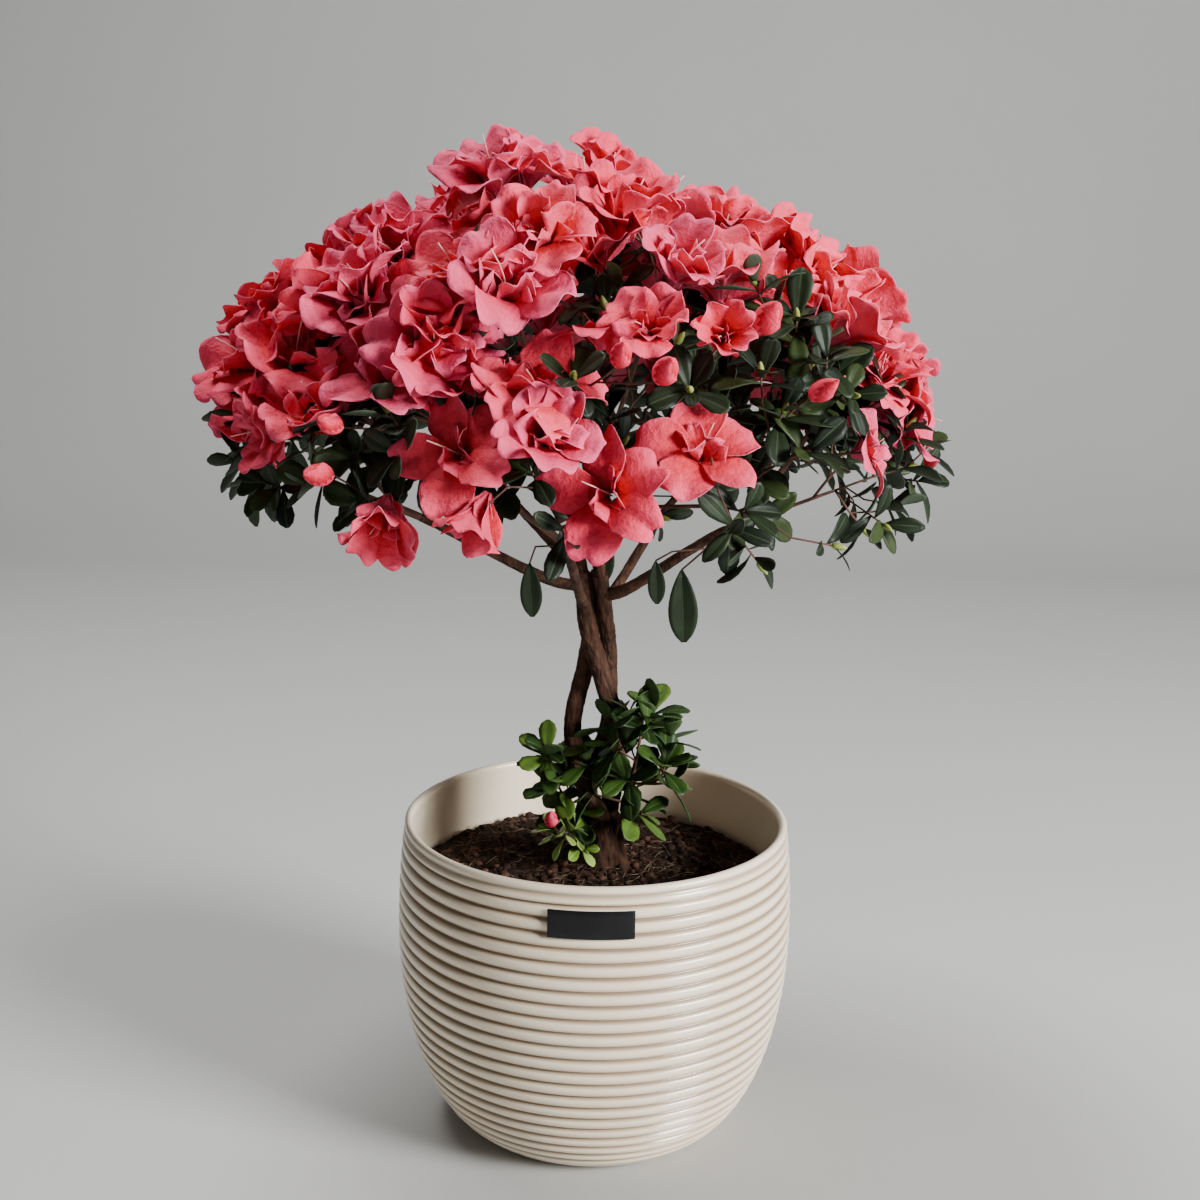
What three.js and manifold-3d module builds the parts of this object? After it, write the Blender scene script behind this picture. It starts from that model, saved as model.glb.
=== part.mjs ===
// A flowering azalea trained as a small bonsai, standing in a ribbed ceramic pot.
// Millimetres, +Z up. The origin is the centre of the pot's flat underside, and -Y is the front.
// Azimuths turn from +X through +Y, so 270 is the front. The pot, the soil, the trunk and each limb
// are one solid each, and the head of the tree is eight masses of twigs, leaves and blooms.
import * as THREE from "three";
import Module from "manifold-3d";

const wasm = await Module();
wasm.setup();

const DEG = Math.PI / 180;
const UP = new THREE.Vector3(0, 0, 1);
const GAP = 0.3;
const JOIN_TOLERANCE = 0.02;
const GOLDEN_ANGLE = 137.508;

// Driving dimensions of the pot
const POT = { height: 190, footRadius: 65, bellyRadius: 117.5, bellyHeight: 123.5, rimRadius: 113.6 };
const POT_WALL = { thickness: 7, floor: 9, lip: 2.6, swell: 0.2, sides: 24 };
const INSIDE_LEVELS = [9, 20, 45, 85, 123.5, 150, 172];
const POT_RIBS = { pitch: 8.25, depth: 1.7, shoulder: 0.17, firstBelowRim: 10.5, lowest: 9 };
// Corners stand out of the true radius as far as the flats between them lie inside it
const CORNER_SWELL = 2 / (1 + Math.cos(Math.PI / POT_WALL.sides));
const PLATE = { left: -25, right: 22, bottom: 162.3, top: 178, thickness: 0.8, steps: 8 };
const SOIL = { edge: 150, mound: 160, moundRadius: 25, shoreSteps: 4, crumble: 1.4, lumps: [0.31, 0.27] };

// Driving dimensions of the trunk: a flared foot and three stems loosely twisted together
const FOOT = {
  x: 3, top: 190, flare: 18, waist: 11.6, lobes: 5, lobeDepth: 0.16, lobeTurn: 40, corners: 20, steps: 5,
};
const STEM_HEIGHTS = [190.6, 212, 243, 282, 305, 337];
const STEM_AXIS_X = [2.5, 1, -0.5, -1.5, -2.4, -3.5];
const STEMS = {
  left: { azimuths: [400, 385, 345, 288, 235, 182], spreads: [6.4, 11, 11.5, 7.2, 7, 6.9], radius: 5.2 },
  right: { azimuths: [520, 480, 415, 372, 335, 300], spreads: [6.2, 10.5, 11, 8.2, 7.4, 6.9], radius: 4.3 },
  rear: { azimuths: [280, 235, 182, 138, 108, 66], spreads: [6.4, 14.5, 14.5, 8.2, 7.2, 6.9], radius: 4.9 },
};
const STEM_SHAPE = { corners: 8, steps: 13, thickerBelow: 1.04, thinnerAbove: 0.96 };

// Driving dimensions of the head: a broad dome of blossom over limbs that rise like umbrella ribs
const DOME = { x: -12, y: 0, z: 400, across: 197, deep: 184, rise: 146, drop: 60, fullness: 2.35 };
const DOME_HUMPS = [
  { azimuth: 0, elevation: 90, lift: 0.26, spread: 0.07 },
  { azimuth: 199, elevation: 27, lift: 0.1, spread: 0.03 },
  { azimuth: 248, elevation: 61, lift: 0.08, spread: 0.05 },
  { azimuth: 352, elevation: 42, lift: 0.04, spread: 0.02 },
];
const OUTER_MASSES = { halfAngle: 36, innerTilt: 54, apex: 360 };
const OUTER_LIMB = { tipOut: 92, tipHeight: 372, heartOut: 148, heartHeight: 397 };
const TOP_MASSES = { halfAngle: 60 };
const TOP_LIMB = { tipOut: 22, tipHeight: 426, heartOut: 46, heartHeight: 496 };
const BOUGH_SHAPE = { corners: 6, steps: 7, springing: 0.16, leaving: 0.3 };
const BOUGHS = [
  { name: "left", azimuth: 194, stem: "left", leaves: 331, root: 3.4, tip: 2.2 },
  { name: "front", azimuth: 266, stem: "left", leaves: 320, root: 3.2, tip: 2.1 },
  { name: "right", azimuth: 338, stem: "right", leaves: 326, root: 3.6, tip: 2.3 },
  { name: "rear_right", azimuth: 50, stem: "rear", leaves: 318, root: 3.2, tip: 2.1 },
  { name: "rear_left", azimuth: 122, stem: "rear", leaves: 330, root: 3.2, tip: 2.1 },
  { name: "top_left", azimuth: 210, stem: "left", root: 3.4, tip: 2.2 },
  { name: "top_right", azimuth: 330, stem: "right", root: 3, tip: 2.1 },
  { name: "top_rear", azimuth: 90, stem: "rear", root: 3.4, tip: 2.2 },
];
const SPACE_MARGIN = 0.8;
const LIMB_CLEARANCE = 0.7;

// Twigs, leaves and blooms, as life except that one leaf here stands for a few of the real ones
const TWIG = { tip: 1.1, gain: 0.34, corners: 3, stemSteps: 4, stride: 60, deeper: 0.08, turnCost: 0.45 };
const LEAF = {
  length: 36, width: 17, thickness: 1.4, widest: 0.6, thickest: 0.35, apart: 4.6, sunk: 0.45, lean: 0.75,
  shortest: 0.85, longest: 1.1, clear: 5,
};
const SPRAY_TURNS = [0, 30, 60, 90];
const BLOOM = {
  smallest: 27, largest: 33, lobes: 5, depth: 0.5, rooted: 0.2, slack: 0.35,
  shrinks: [1, 0.86, 0.72], shift: 0.6, clustered: 1.35,
};
const BUD = { length: 23, width: 12, sunk: 3, proud: 1.02 };

// The rings of an open bloom as fractions of its radius: how far out, how high, and how a bell closes them
const BLOOM_RINGS = {
  tip: { out: 1, height: 0, narrows: 0.35, rises: 0.7 },
  notch: { out: 0.82, height: 0.12, narrows: 0.35, rises: 0.7 },
  ruffle: { out: 0.36, height: 0.22, narrows: 0.3, rises: 0.35 },
  centre: { out: 0, height: 0.06, narrows: 0, rises: 0.3 },
};

// Where the blooms lie: above a floor in elevation that rises in two leafy patches
const BLOOM_LATTICE = { count: 100, start: 40, lowest: 2 };
const BLOOM_FLOOR = 5;
const LEAFY_PATCHES = [{ azimuth: 315, spread: 24, lift: 24 }, { azimuth: 110, spread: 36, lift: 13 }];
const LEAF_LATTICE = { count: 80, start: 75, lowest: -30, highest: 62 };
const LEAF_LAYERS = { overlap: 4, underBlooms: 0.82, oneIn: 7, open: [0.9, 0.9, 0.7] };

// Blooms that stand out at the front: azimuth, elevation, radius, and how far each is closed to a bell
const CHOSEN_BLOOMS = [
  { azimuth: 287, elevation: 11, radius: 31, nod: 0, cup: 0 },
  { azimuth: 274, elevation: 0, radius: 33, nod: 0.35, cup: 0 },
  { azimuth: 252, elevation: 10, radius: 32, nod: 0.1, cup: 0 },
  { azimuth: 241, elevation: -7, radius: 27, nod: 0.9, cup: 0.6 },
  { azimuth: 256, elevation: -3, radius: 22, nod: 1.2, cup: 0.8 },
  { azimuth: 266, elevation: 13, radius: 27, nod: 0, cup: 0.2 },
  { azimuth: 324, elevation: 9, radius: 22, nod: 0.1, cup: 0 },
  { azimuth: 281, elevation: 30, radius: 26, nod: 0, cup: 0.1 },
  { azimuth: 294, elevation: 26, radius: 24, nod: 0.2, cup: 0.3 },
  { azimuth: 213, elevation: 9, radius: 28, nod: 0.3, cup: 0.4 },
  { azimuth: 272, elevation: 78, radius: 30, nod: 0, cup: 0 },
];
const CHOSEN_ROOM = 33;
const CHOSEN_BUDS = [
  { azimuth: 282, elevation: 20 },
  { azimuth: 306, elevation: 17 },
  { azimuth: 234, elevation: 12 },
  { azimuth: 233, elevation: 4 },
  { azimuth: 276, elevation: 23 },
];
const HANGING_SHAPE = { width: 0.42, sway: 0.06 };
const HANGING_LEAVES = [
  { azimuth: 330, out: 66, height: 347, length: 42 },
  { azimuth: 248, out: 70, height: 356, length: 30 },
  { azimuth: 80, out: 70, height: 352, length: 36 },
];

// Young shoots at the foot of the trunk: where each stem runs, its leaves, and the space it keeps to
const SHOOT_SHAPE = { bare: 0.25, start: 300, wander: 6, outward: 0.6, bulge: [0.3, 0.95] };
const SHOOT_BUD = { length: 11, width: 7 };
const SHOOTS = [
  {
    name: "shoots_right", foot: 318, height: 178, seed: 31, sprays: 8, leaf: 26, bud: false,
    heart: [22, -19, 214], tip: [27, -14, 262], spread: [27, 12, 30],
    space: [[1, 0, 0, -3], [0, 0, 1, 166], [0, 0, -1, -284]],
  },
  {
    name: "shoots_left", foot: 196, height: 180, seed: 47, sprays: 4, leaf: 23, bud: false,
    heart: [-27, -6, 214], tip: [-31, -8, 236], spread: [7, 8, 12],
    space: [[-1, 0, 0, 6], [0, 1, 0, -17], [0, 0, 1, 170], [0, 0, -1, -284]],
  },
  {
    name: "sprout", foot: 236, height: 170, seed: 59, sprays: 4, leaf: 17, bud: true,
    heart: [-20, -27, 182], tip: [-27, -31, 196], spread: [10, 6, 7],
    space: [[-1, 0, 0, 4], [0, -1, 0, 18], [0, 0, 1, 163.5], [0, 0, -1, -214]],
  },
];

const COLOURS = {
  glaze: { color: 0xdfd3bf, roughness: 0.3, metalness: 0 },
  plate: { color: 0x111113, roughness: 0.4, metalness: 0 },
  peat: { color: 0x2a1b14, roughness: 0.95, metalness: 0 },
  bark: { color: 0x5a3f2e, roughness: 0.85, metalness: 0 },
  blossom: { color: 0xd9606a, roughness: 0.6, metalness: 0 },
  shoots: { color: 0x3f6b22, roughness: 0.5, metalness: 0 },
};

// Small helpers

function vector(x, y, z) {
  return new THREE.Vector3(x, y, z);
}

function compass(azimuth) {
  return vector(Math.cos(azimuth * DEG), Math.sin(azimuth * DEG), 0);
}

function mix(a, b, t) {
  return a + (b - a) * t;
}

// A plain seeded generator, so that every build gives the same tree
function seeded(seed) {
  let state = seed;
  return () => {
    state = (state * 48271) % 2147483647;
    return state / 2147483647;
  };
}

function angleBetween(a, b) {
  return Math.abs(((a - b + 540) % 360) - 180);
}

// Closed skins

function faceted(points, triangles) {
  const geometry = new THREE.BufferGeometry();
  geometry.setAttribute("position", new THREE.Float32BufferAttribute(points.flatMap((p) => p.toArray()), 3));
  geometry.setIndex(triangles.flat());
  return geometry;
}

// A closed skin over a row of rings with the same number of corners, its two ends capped
function skin(rings) {
  const corners = rings[0].length;
  const last = (rings.length - 1) * corners;
  const points = rings.flat();
  const triangles = [];
  for (let row = 0; row < last; row += corners) {
    for (let i = 0; i < corners; i++) {
      const next = (i + 1) % corners;
      triangles.push([row + i, row + next, row + corners + i]);
      triangles.push([row + next, row + corners + next, row + corners + i]);
    }
  }
  if (corners < 5) {
    for (let i = 1; i < corners - 1; i++) {
      triangles.push([0, i + 1, i], [last, last + i, last + i + 1]);
    }
    return faceted(points, triangles);
  }
  const middle = (ring) => ring.reduce((sum, p) => sum.add(p), vector(0, 0, 0)).divideScalar(corners);
  const startCap = points.push(middle(rings[0])) - 1;
  const endCap = points.push(middle(rings[rings.length - 1])) - 1;
  for (let i = 0; i < corners; i++) {
    const next = (i + 1) % corners;
    triangles.push([startCap, next, i], [endCap, last + i, last + next]);
  }
  return faceted(points, triangles);
}

// Rings square to a path, turned as little as can be from one to the next
function tube(path, radiusAt, corners, firstAlong, lastAlong) {
  let side = null;
  const rings = path.map((centre, i) => {
    const chord = path[Math.min(i + 1, path.length - 1)].clone().sub(path[Math.max(i - 1, 0)]).normalize();
    const end = i === 0 ? firstAlong : i === path.length - 1 ? lastAlong : null;
    const along = end ?? chord;
    side = side ?? (Math.abs(along.z) > 0.7 ? vector(1, 0, 0) : UP.clone());
    side = side.clone().addScaledVector(along, -side.dot(along)).normalize();
    const across = along.clone().cross(side);
    const radius = radiusAt(i / (path.length - 1));
    return Array.from({ length: corners }, (_, corner) => {
      const turn = (corner / corners) * 2 * Math.PI;
      const ray = side.clone().multiplyScalar(Math.cos(turn)).addScaledVector(across, Math.sin(turn));
      return centre.clone().addScaledVector(ray, radius);
    });
  });
  return skin(rings);
}

// Pot, plate and soil

function potRadius(z) {
  if (z < POT.bellyHeight) {
    const drop = 1 - z / POT.bellyHeight;
    return POT.footRadius + (POT.bellyRadius - POT.footRadius) * Math.sqrt(1 - drop * drop);
  }
  const rise = (z - POT.bellyHeight) / (POT.height - POT.bellyHeight);
  return POT.bellyRadius - (POT.bellyRadius - POT.rimRadius) * rise * rise;
}

// The outer wall from the first groove under the rim down to the foot
class WallCurve extends THREE.Curve {
  getPoint(t) {
    const z = (POT.height - POT_RIBS.firstBelowRim) * (1 - t) * (1 - t);
    return new THREE.Vector2(potRadius(z), z);
  }
}

// Narrow grooves at an even pitch along the wall, with the two shoulders of a broad rib between each two
function ribbedWall() {
  const wall = new WallCurve();
  const length = wall.getLength();
  const ribs = Math.ceil(length / POT_RIBS.pitch);
  const places = [0, POT_RIBS.shoulder, 1 - POT_RIBS.shoulder];
  const points = Array.from({ length: ribs }, (_, rib) => places.map((place) => {
    const walked = Math.min((rib + place) * POT_RIBS.pitch / length, 1);
    const point = wall.getPointAt(walked);
    const tangent = wall.getTangentAt(walked);
    const inward = new THREE.Vector2(tangent.y, -tangent.x);
    return place === 0 ? point.addScaledVector(inward, POT_RIBS.depth) : point;
  }));
  return points.flat().filter((point) => point.y > POT_RIBS.lowest).reverse();
}

// The inside of the wall, on levels that the soil shares
function insideWall(top) {
  const levels = INSIDE_LEVELS.filter((z) => z <= top);
  return levels.map((z) => new THREE.Vector2(potRadius(z) - POT_WALL.thickness, z));
}

function potGeometry() {
  const lip = POT_WALL.lip;
  const rim = POT.rimRadius;
  const heel = POT_RIBS.lowest / 4;
  const profile = [
    new THREE.Vector2(0, 0),
    new THREE.Vector2(POT.footRadius, 0),
    new THREE.Vector2(potRadius(heel), heel),
    ...ribbedWall(),
    new THREE.Vector2(rim + POT_WALL.swell, POT.height - POT_RIBS.firstBelowRim / 2),
    new THREE.Vector2(rim, POT.height - lip),
    new THREE.Vector2(rim - lip, POT.height),
    new THREE.Vector2(rim - POT_WALL.thickness + lip, POT.height),
    new THREE.Vector2(rim - POT_WALL.thickness, POT.height - lip),
    ...insideWall(POT.height).reverse(),
    new THREE.Vector2(0, POT_WALL.floor),
  ];
  return lathe(profile);
}

// A profile of radius and height turned round the upright axis
function lathe(profile) {
  const geometry = new THREE.LatheGeometry(profile, POT_WALL.sides);
  return geometry.rotateX(Math.PI / 2).scale(CORNER_SWELL, CORNER_SWELL, 1);
}

function plateGeometry() {
  const middle = potRadius((PLATE.bottom + PLATE.top) / 2);
  const rings = [];
  for (let step = 0; step <= PLATE.steps; step++) {
    const x = mix(PLATE.left, PLATE.right, step / PLATE.steps);
    const out = compass(270 + Math.asin(x / middle) / DEG);
    const corner = (extra, z) => {
      return out.clone().multiplyScalar(potRadius(z) * CORNER_SWELL + GAP + extra).setZ(z);
    };
    rings.push([
      corner(0, PLATE.bottom),
      corner(0, PLATE.top),
      corner(PLATE.thickness, PLATE.top),
      corner(PLATE.thickness, PLATE.bottom),
    ]);
  }
  return skin(rings);
}

// Soil fills the pot and rises in a crumbly mound round a level middle that the trunk stands on
function soilGeometry() {
  const rim = potRadius(SOIL.edge) - POT_WALL.thickness - GAP;
  const profile = [new THREE.Vector2(0, POT_WALL.floor + GAP)];
  insideWall(SOIL.edge).forEach((point, level) => {
    profile.push(new THREE.Vector2(point.x - GAP, point.y + (level === 0 ? GAP : 0)));
  });
  for (let step = 1; step < SOIL.shoreSteps; step++) {
    const t = step / SOIL.shoreSteps;
    profile.push(new THREE.Vector2(mix(rim, SOIL.moundRadius, t), mix(SOIL.edge, SOIL.mound, Math.sqrt(t))));
  }
  profile.push(new THREE.Vector2(SOIL.moundRadius, SOIL.mound), new THREE.Vector2(0, SOIL.mound));
  const geometry = lathe(profile);
  const position = geometry.getAttribute("position");
  for (let i = 0; i < position.count; i++) {
    const radius = Math.hypot(position.getX(i), position.getY(i));
    const onTop = position.getZ(i) > SOIL.edge && radius > SOIL.moundRadius + 1;
    const lump = Math.sin(position.getX(i) * SOIL.lumps[0] + 1) * Math.cos(position.getY(i) * SOIL.lumps[1]);
    position.setZ(i, position.getZ(i) + (onTop ? SOIL.crumble * lump : 0));
  }
  return geometry;
}

// A point on the trunk foot, which is round at the top and spreads into low root lobes at the soil
function footPoint(azimuth, z, clear = 0) {
  const flare = ((FOOT.top - z) / (FOOT.top - SOIL.mound)) ** 2;
  const lobe = 1 + FOOT.lobeDepth * flare * Math.cos((FOOT.lobes * azimuth + FOOT.lobeTurn) * DEG);
  const radius = mix(FOOT.waist, FOOT.flare, flare) * lobe + clear;
  return compass(azimuth).multiplyScalar(radius).add(vector(FOOT.x, 0, z));
}

function footGeometry() {
  const rings = [];
  for (let step = 0; step <= FOOT.steps; step++) {
    const z = mix(SOIL.mound + GAP, FOOT.top, step / FOOT.steps);
    const turns = Array.from({ length: FOOT.corners }, (_, corner) => (corner / FOOT.corners) * 360);
    rings.push(turns.map((azimuth) => footPoint(azimuth, z)));
  }
  return skin(rings);
}

// The middle line of one twisted stem, smooth through its azimuth and spread at each height
function stemCurve(stem) {
  return new THREE.CatmullRomCurve3(STEM_HEIGHTS.map((z, i) => {
    return compass(stem.azimuths[i]).multiplyScalar(stem.spreads[i]).add(vector(STEM_AXIS_X[i], 0, z));
  }));
}

// A limb: its middle line, its radius from end to end, its number of corners, and how its ends face
function limb(name, points, radiusAt, corners, ends) {
  return { name, points, radiusAt, corners, ends };
}

function stemLimb(name) {
  const stem = STEMS[name];
  const curve = stemCurve(stem);
  const radiusAt = (t) => stem.radius * mix(STEM_SHAPE.thickerBelow, STEM_SHAPE.thinnerAbove, t);
  const points = curve.getPoints(STEM_SHAPE.steps);
  return limb(`stem_${name}`, points, radiusAt, STEM_SHAPE.corners, [UP, curve.getTangentAt(1)]);
}

function domeAxis(azimuth, out, height) {
  return compass(azimuth).multiplyScalar(out).add(vector(DOME.x, DOME.y, height));
}

// How far along a rising curve it reaches a height, by halving
function reachHeight(curve, height) {
  let low = 0;
  let high = 1;
  for (let halving = 0; halving < 20; halving++) {
    const middle = (low + high) / 2;
    if (curve.getPoint(middle).z < height) low = middle;
    else high = middle;
  }
  return low;
}

// A bough springs from the side of its stem, or carries on from the stem's end, and bends outward
function boughLine(bough) {
  const isTop = bough.leaves === undefined;
  const reach = isTop ? TOP_LIMB : OUTER_LIMB;
  const curve = stemCurve(STEMS[bough.stem]);
  const end = domeAxis(bough.azimuth, reach.tipOut, reach.tipHeight);
  const heart = domeAxis(bough.azimuth, reach.heartOut, reach.heartHeight);
  const leaving = heart.clone().sub(end).normalize();
  let start = null;
  let springing = null;
  if (isTop) {
    springing = curve.getTangentAt(1);
    start = curve.getPointAt(1).addScaledVector(springing, GAP);
  } else {
    const along = reachHeight(curve, bough.leaves);
    const tangent = curve.getTangent(along);
    springing = compass(bough.azimuth);
    springing.addScaledVector(tangent, -springing.dot(tangent)).normalize();
    start = curve.getPoint(along).addScaledVector(springing, STEMS[bough.stem].radius + GAP);
  }
  const span = start.distanceTo(end);
  return new THREE.CubicBezierCurve3(
    start,
    start.clone().addScaledVector(springing, span * BOUGH_SHAPE.springing),
    end.clone().addScaledVector(leaving, -span * BOUGH_SHAPE.leaving),
    end,
  );
}

function boughLimb(bough) {
  const line = boughLine(bough);
  const radiusAt = (t) => mix(bough.root, bough.tip, t);
  const ends = [line.getTangent(0), line.getTangent(1)];
  return limb(`bough_${bough.name}`, line.getPoints(BOUGH_SHAPE.steps), radiusAt, BOUGH_SHAPE.corners, ends);
}

function limbGeometry(item, extra = 0) {
  return tube(item.points, (t) => item.radiusAt(t) + extra, item.corners, ...item.ends);
}

// Solids that can be joined

function toSolid(geometry) {
  const vertProperties = new Float32Array(geometry.getAttribute("position").array);
  const triVerts = new Uint32Array(geometry.index.array);
  return new wasm.Manifold(new wasm.Mesh({ numProp: 3, vertProperties, triVerts }));
}

function toGeometry(solid) {
  const mesh = solid.getMesh();
  const geometry = new THREE.BufferGeometry();
  geometry.setAttribute("position", new THREE.Float32BufferAttribute(mesh.vertProperties, 3));
  geometry.setIndex(new THREE.Uint32BufferAttribute(mesh.triVerts, 1));
  return geometry;
}

// One body from many: slivers along the joins, loose scraps and the walls of sealed hollows are dropped
function fuse(solids) {
  const whole = solids.reduce((sum, solid) => sum.add(solid)).asOriginal().simplify(JOIN_TOLERANCE);
  return whole.decompose().reduce((a, b) => (a.volume() > b.volume() ? a : b));
}

// Dome of the head

// How far the dome swells along a ray from its heart, given in parts of its own radii
function domeSwell(ray) {
  return DOME_HUMPS.reduce((swell, { azimuth, elevation, lift, spread }) => {
    const middle = compass(azimuth).multiplyScalar(Math.cos(elevation * DEG)).setZ(Math.sin(elevation * DEG));
    return swell + lift * Math.exp((ray.clone().normalize().dot(middle) - 1) / spread);
  }, 1);
}

// Fraction of the way from the heart of the dome to its surface
function domeDepth(point) {
  const ray = vector(
    (point.x - DOME.x) / DOME.across,
    (point.y - DOME.y) / DOME.deep,
    (point.z - DOME.z) / (point.z > DOME.z ? DOME.rise : DOME.drop),
  );
  const across = Math.hypot(ray.x, ray.y);
  const depth = (across ** DOME.fullness + Math.abs(ray.z) ** DOME.fullness) ** (1 / DOME.fullness);
  return depth / domeSwell(ray);
}

function domePoint(azimuth, elevation, depth = 1) {
  const power = 2 / DOME.fullness;
  const height = Math.abs(Math.sin(elevation * DEG)) ** power;
  const ray = compass(azimuth).multiplyScalar(Math.cos(elevation * DEG) ** power);
  ray.setZ(Math.sign(elevation) * height);
  return ray.multiplyScalar(depth * domeSwell(ray))
    .multiply(vector(DOME.across, DOME.deep, elevation > 0 ? DOME.rise : DOME.drop))
    .add(vector(DOME.x, DOME.y, DOME.z));
}

function domeNormal(point) {
  const drop = point.z > DOME.z ? DOME.rise : DOME.across;
  return vector(
    (point.x - DOME.x) / DOME.across ** 2,
    (point.y - DOME.y) / DOME.deep ** 2,
    (point.z - DOME.z) / drop ** 2,
  ).normalize();
}

// Directions spread evenly by the golden angle between two elevations
function lattice({ count, start, lowest, highest = 90 }) {
  const directions = [];
  for (let i = 0; i < count; i++) {
    const sine = mix(Math.sin(highest * DEG), Math.sin(lowest * DEG), (i + 0.5) / count);
    directions.push({ azimuth: (start + i * GOLDEN_ANGLE) % 360, elevation: Math.asin(sine) / DEG });
  }
  return directions;
}

function bloomFloor(azimuth) {
  return LEAFY_PATCHES.reduce((floor, patch) => {
    const away = angleBetween(azimuth, patch.azimuth) / patch.spread;
    return floor + patch.lift * Math.exp(-away * away);
  }, BLOOM_FLOOR);
}

// Every place on the dome that holds a bloom, a bud or a spray of leaves
function headSites() {
  const random = seeded(2024);
  const site = (kind, { azimuth, elevation, radius, nod = 0, cup = 0 }, depth = 1) => {
    const point = domePoint(azimuth, elevation, depth);
    const facing = domeNormal(point).addScaledVector(UP, -nod).normalize();
    return { kind, point, facing, radius, cup, spin: random() * 360 };
  };
  const sites = CHOSEN_BLOOMS.map((bloom) => site("bloom", bloom));
  const chosen = sites.map((item) => item.point);
  CHOSEN_BUDS.forEach((bud) => sites.push(site("bud", bud, BUD.proud)));
  lattice(BLOOM_LATTICE).forEach((direction) => {
    const radius = mix(BLOOM.smallest, BLOOM.largest, random());
    const bloom = site("bloom", { ...direction, radius, cup: random() * BLOOM.slack });
    const crowded = chosen.some((point) => point.distanceTo(bloom.point) < CHOSEN_ROOM);
    if (direction.elevation > bloomFloor(direction.azimuth) && !crowded) sites.push(bloom);
  });
  lattice(LEAF_LATTICE).forEach((direction, i) => {
    const amongBlooms = direction.elevation > bloomFloor(direction.azimuth) + LEAF_LAYERS.overlap;
    const depth = amongBlooms ? LEAF_LAYERS.underBlooms : LEAF_LAYERS.open[i % LEAF_LAYERS.open.length];
    if (!amongBlooms || i % LEAF_LAYERS.oneIn === 0) sites.push(site("leaves", direction, depth));
  });
  return sites;
}

// Leaves, buds and blooms

// A flat eight-sided blade, widest past its middle
function bladeGeometry(base, along, face, { length, width, thickness }) {
  const across = face.clone().cross(along).normalize();
  const middle = base.clone().addScaledVector(along, length * LEAF.widest);
  const thickest = base.clone().addScaledVector(along, length * LEAF.thickest);
  const points = [
    base.clone().addScaledVector(along, length),
    middle.clone().addScaledVector(across, width / 2),
    base,
    middle.clone().addScaledVector(across, -width / 2),
    thickest.clone().addScaledVector(face, thickness / 2),
    thickest.clone().addScaledVector(face, -thickness / 2),
  ];
  const triangles = [];
  for (let i = 0; i < 4; i++) {
    const next = (i + 1) % 4;
    triangles.push([i, next, 4], [next, i, 5]);
  }
  return faceted(points, triangles);
}

// The point a given way back from the end of a twig, and the way that the twig runs there
function alongTwig(points, back) {
  let left = back;
  for (let i = points.length - 1; i > 0; i--) {
    const heading = points[i].clone().sub(points[i - 1]);
    const length = heading.length();
    heading.normalize();
    if (left <= length || i === 1) {
      return { point: points[i].clone().addScaledVector(heading, -left), heading };
    }
    left -= length;
  }
  return { point: points[0].clone(), heading: UP.clone() };
}

// Leaves set one behind another round the last stretch of a twig, their roots sunk past its middle
function sprayOf(leaves, points, spin, length) {
  return Array.from({ length: leaves }, (_, i) => {
    const { point, heading } = alongTwig(points, 1 + i * LEAF.apart);
    const side = (Math.abs(heading.z) > 0.8 ? vector(1, 0, 0) : UP.clone()).cross(heading).normalize();
    const turn = (spin + i * GOLDEN_ANGLE) * DEG;
    const beside = heading.clone().cross(side).normalize();
    const ray = side.multiplyScalar(Math.cos(turn)).addScaledVector(beside, Math.sin(turn));
    const along = ray.addScaledVector(heading, LEAF.lean).normalize();
    const face = heading.clone().addScaledVector(along, -heading.dot(along)).normalize();
    return bladeGeometry(point.addScaledVector(along, -LEAF.sunk), along, face, {
      length: length + LEAF.sunk,
      width: LEAF.width * length / LEAF.length,
      thickness: LEAF.thickness,
    });
  });
}

function budGeometry(point, facing, { length, width }) {
  const side = UP.clone().cross(facing);
  const face = side.lengthSq() > 0.01 ? side.normalize() : vector(1, 0, 0);
  return bladeGeometry(point, facing, face, { length, width, thickness: width });
}

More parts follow.
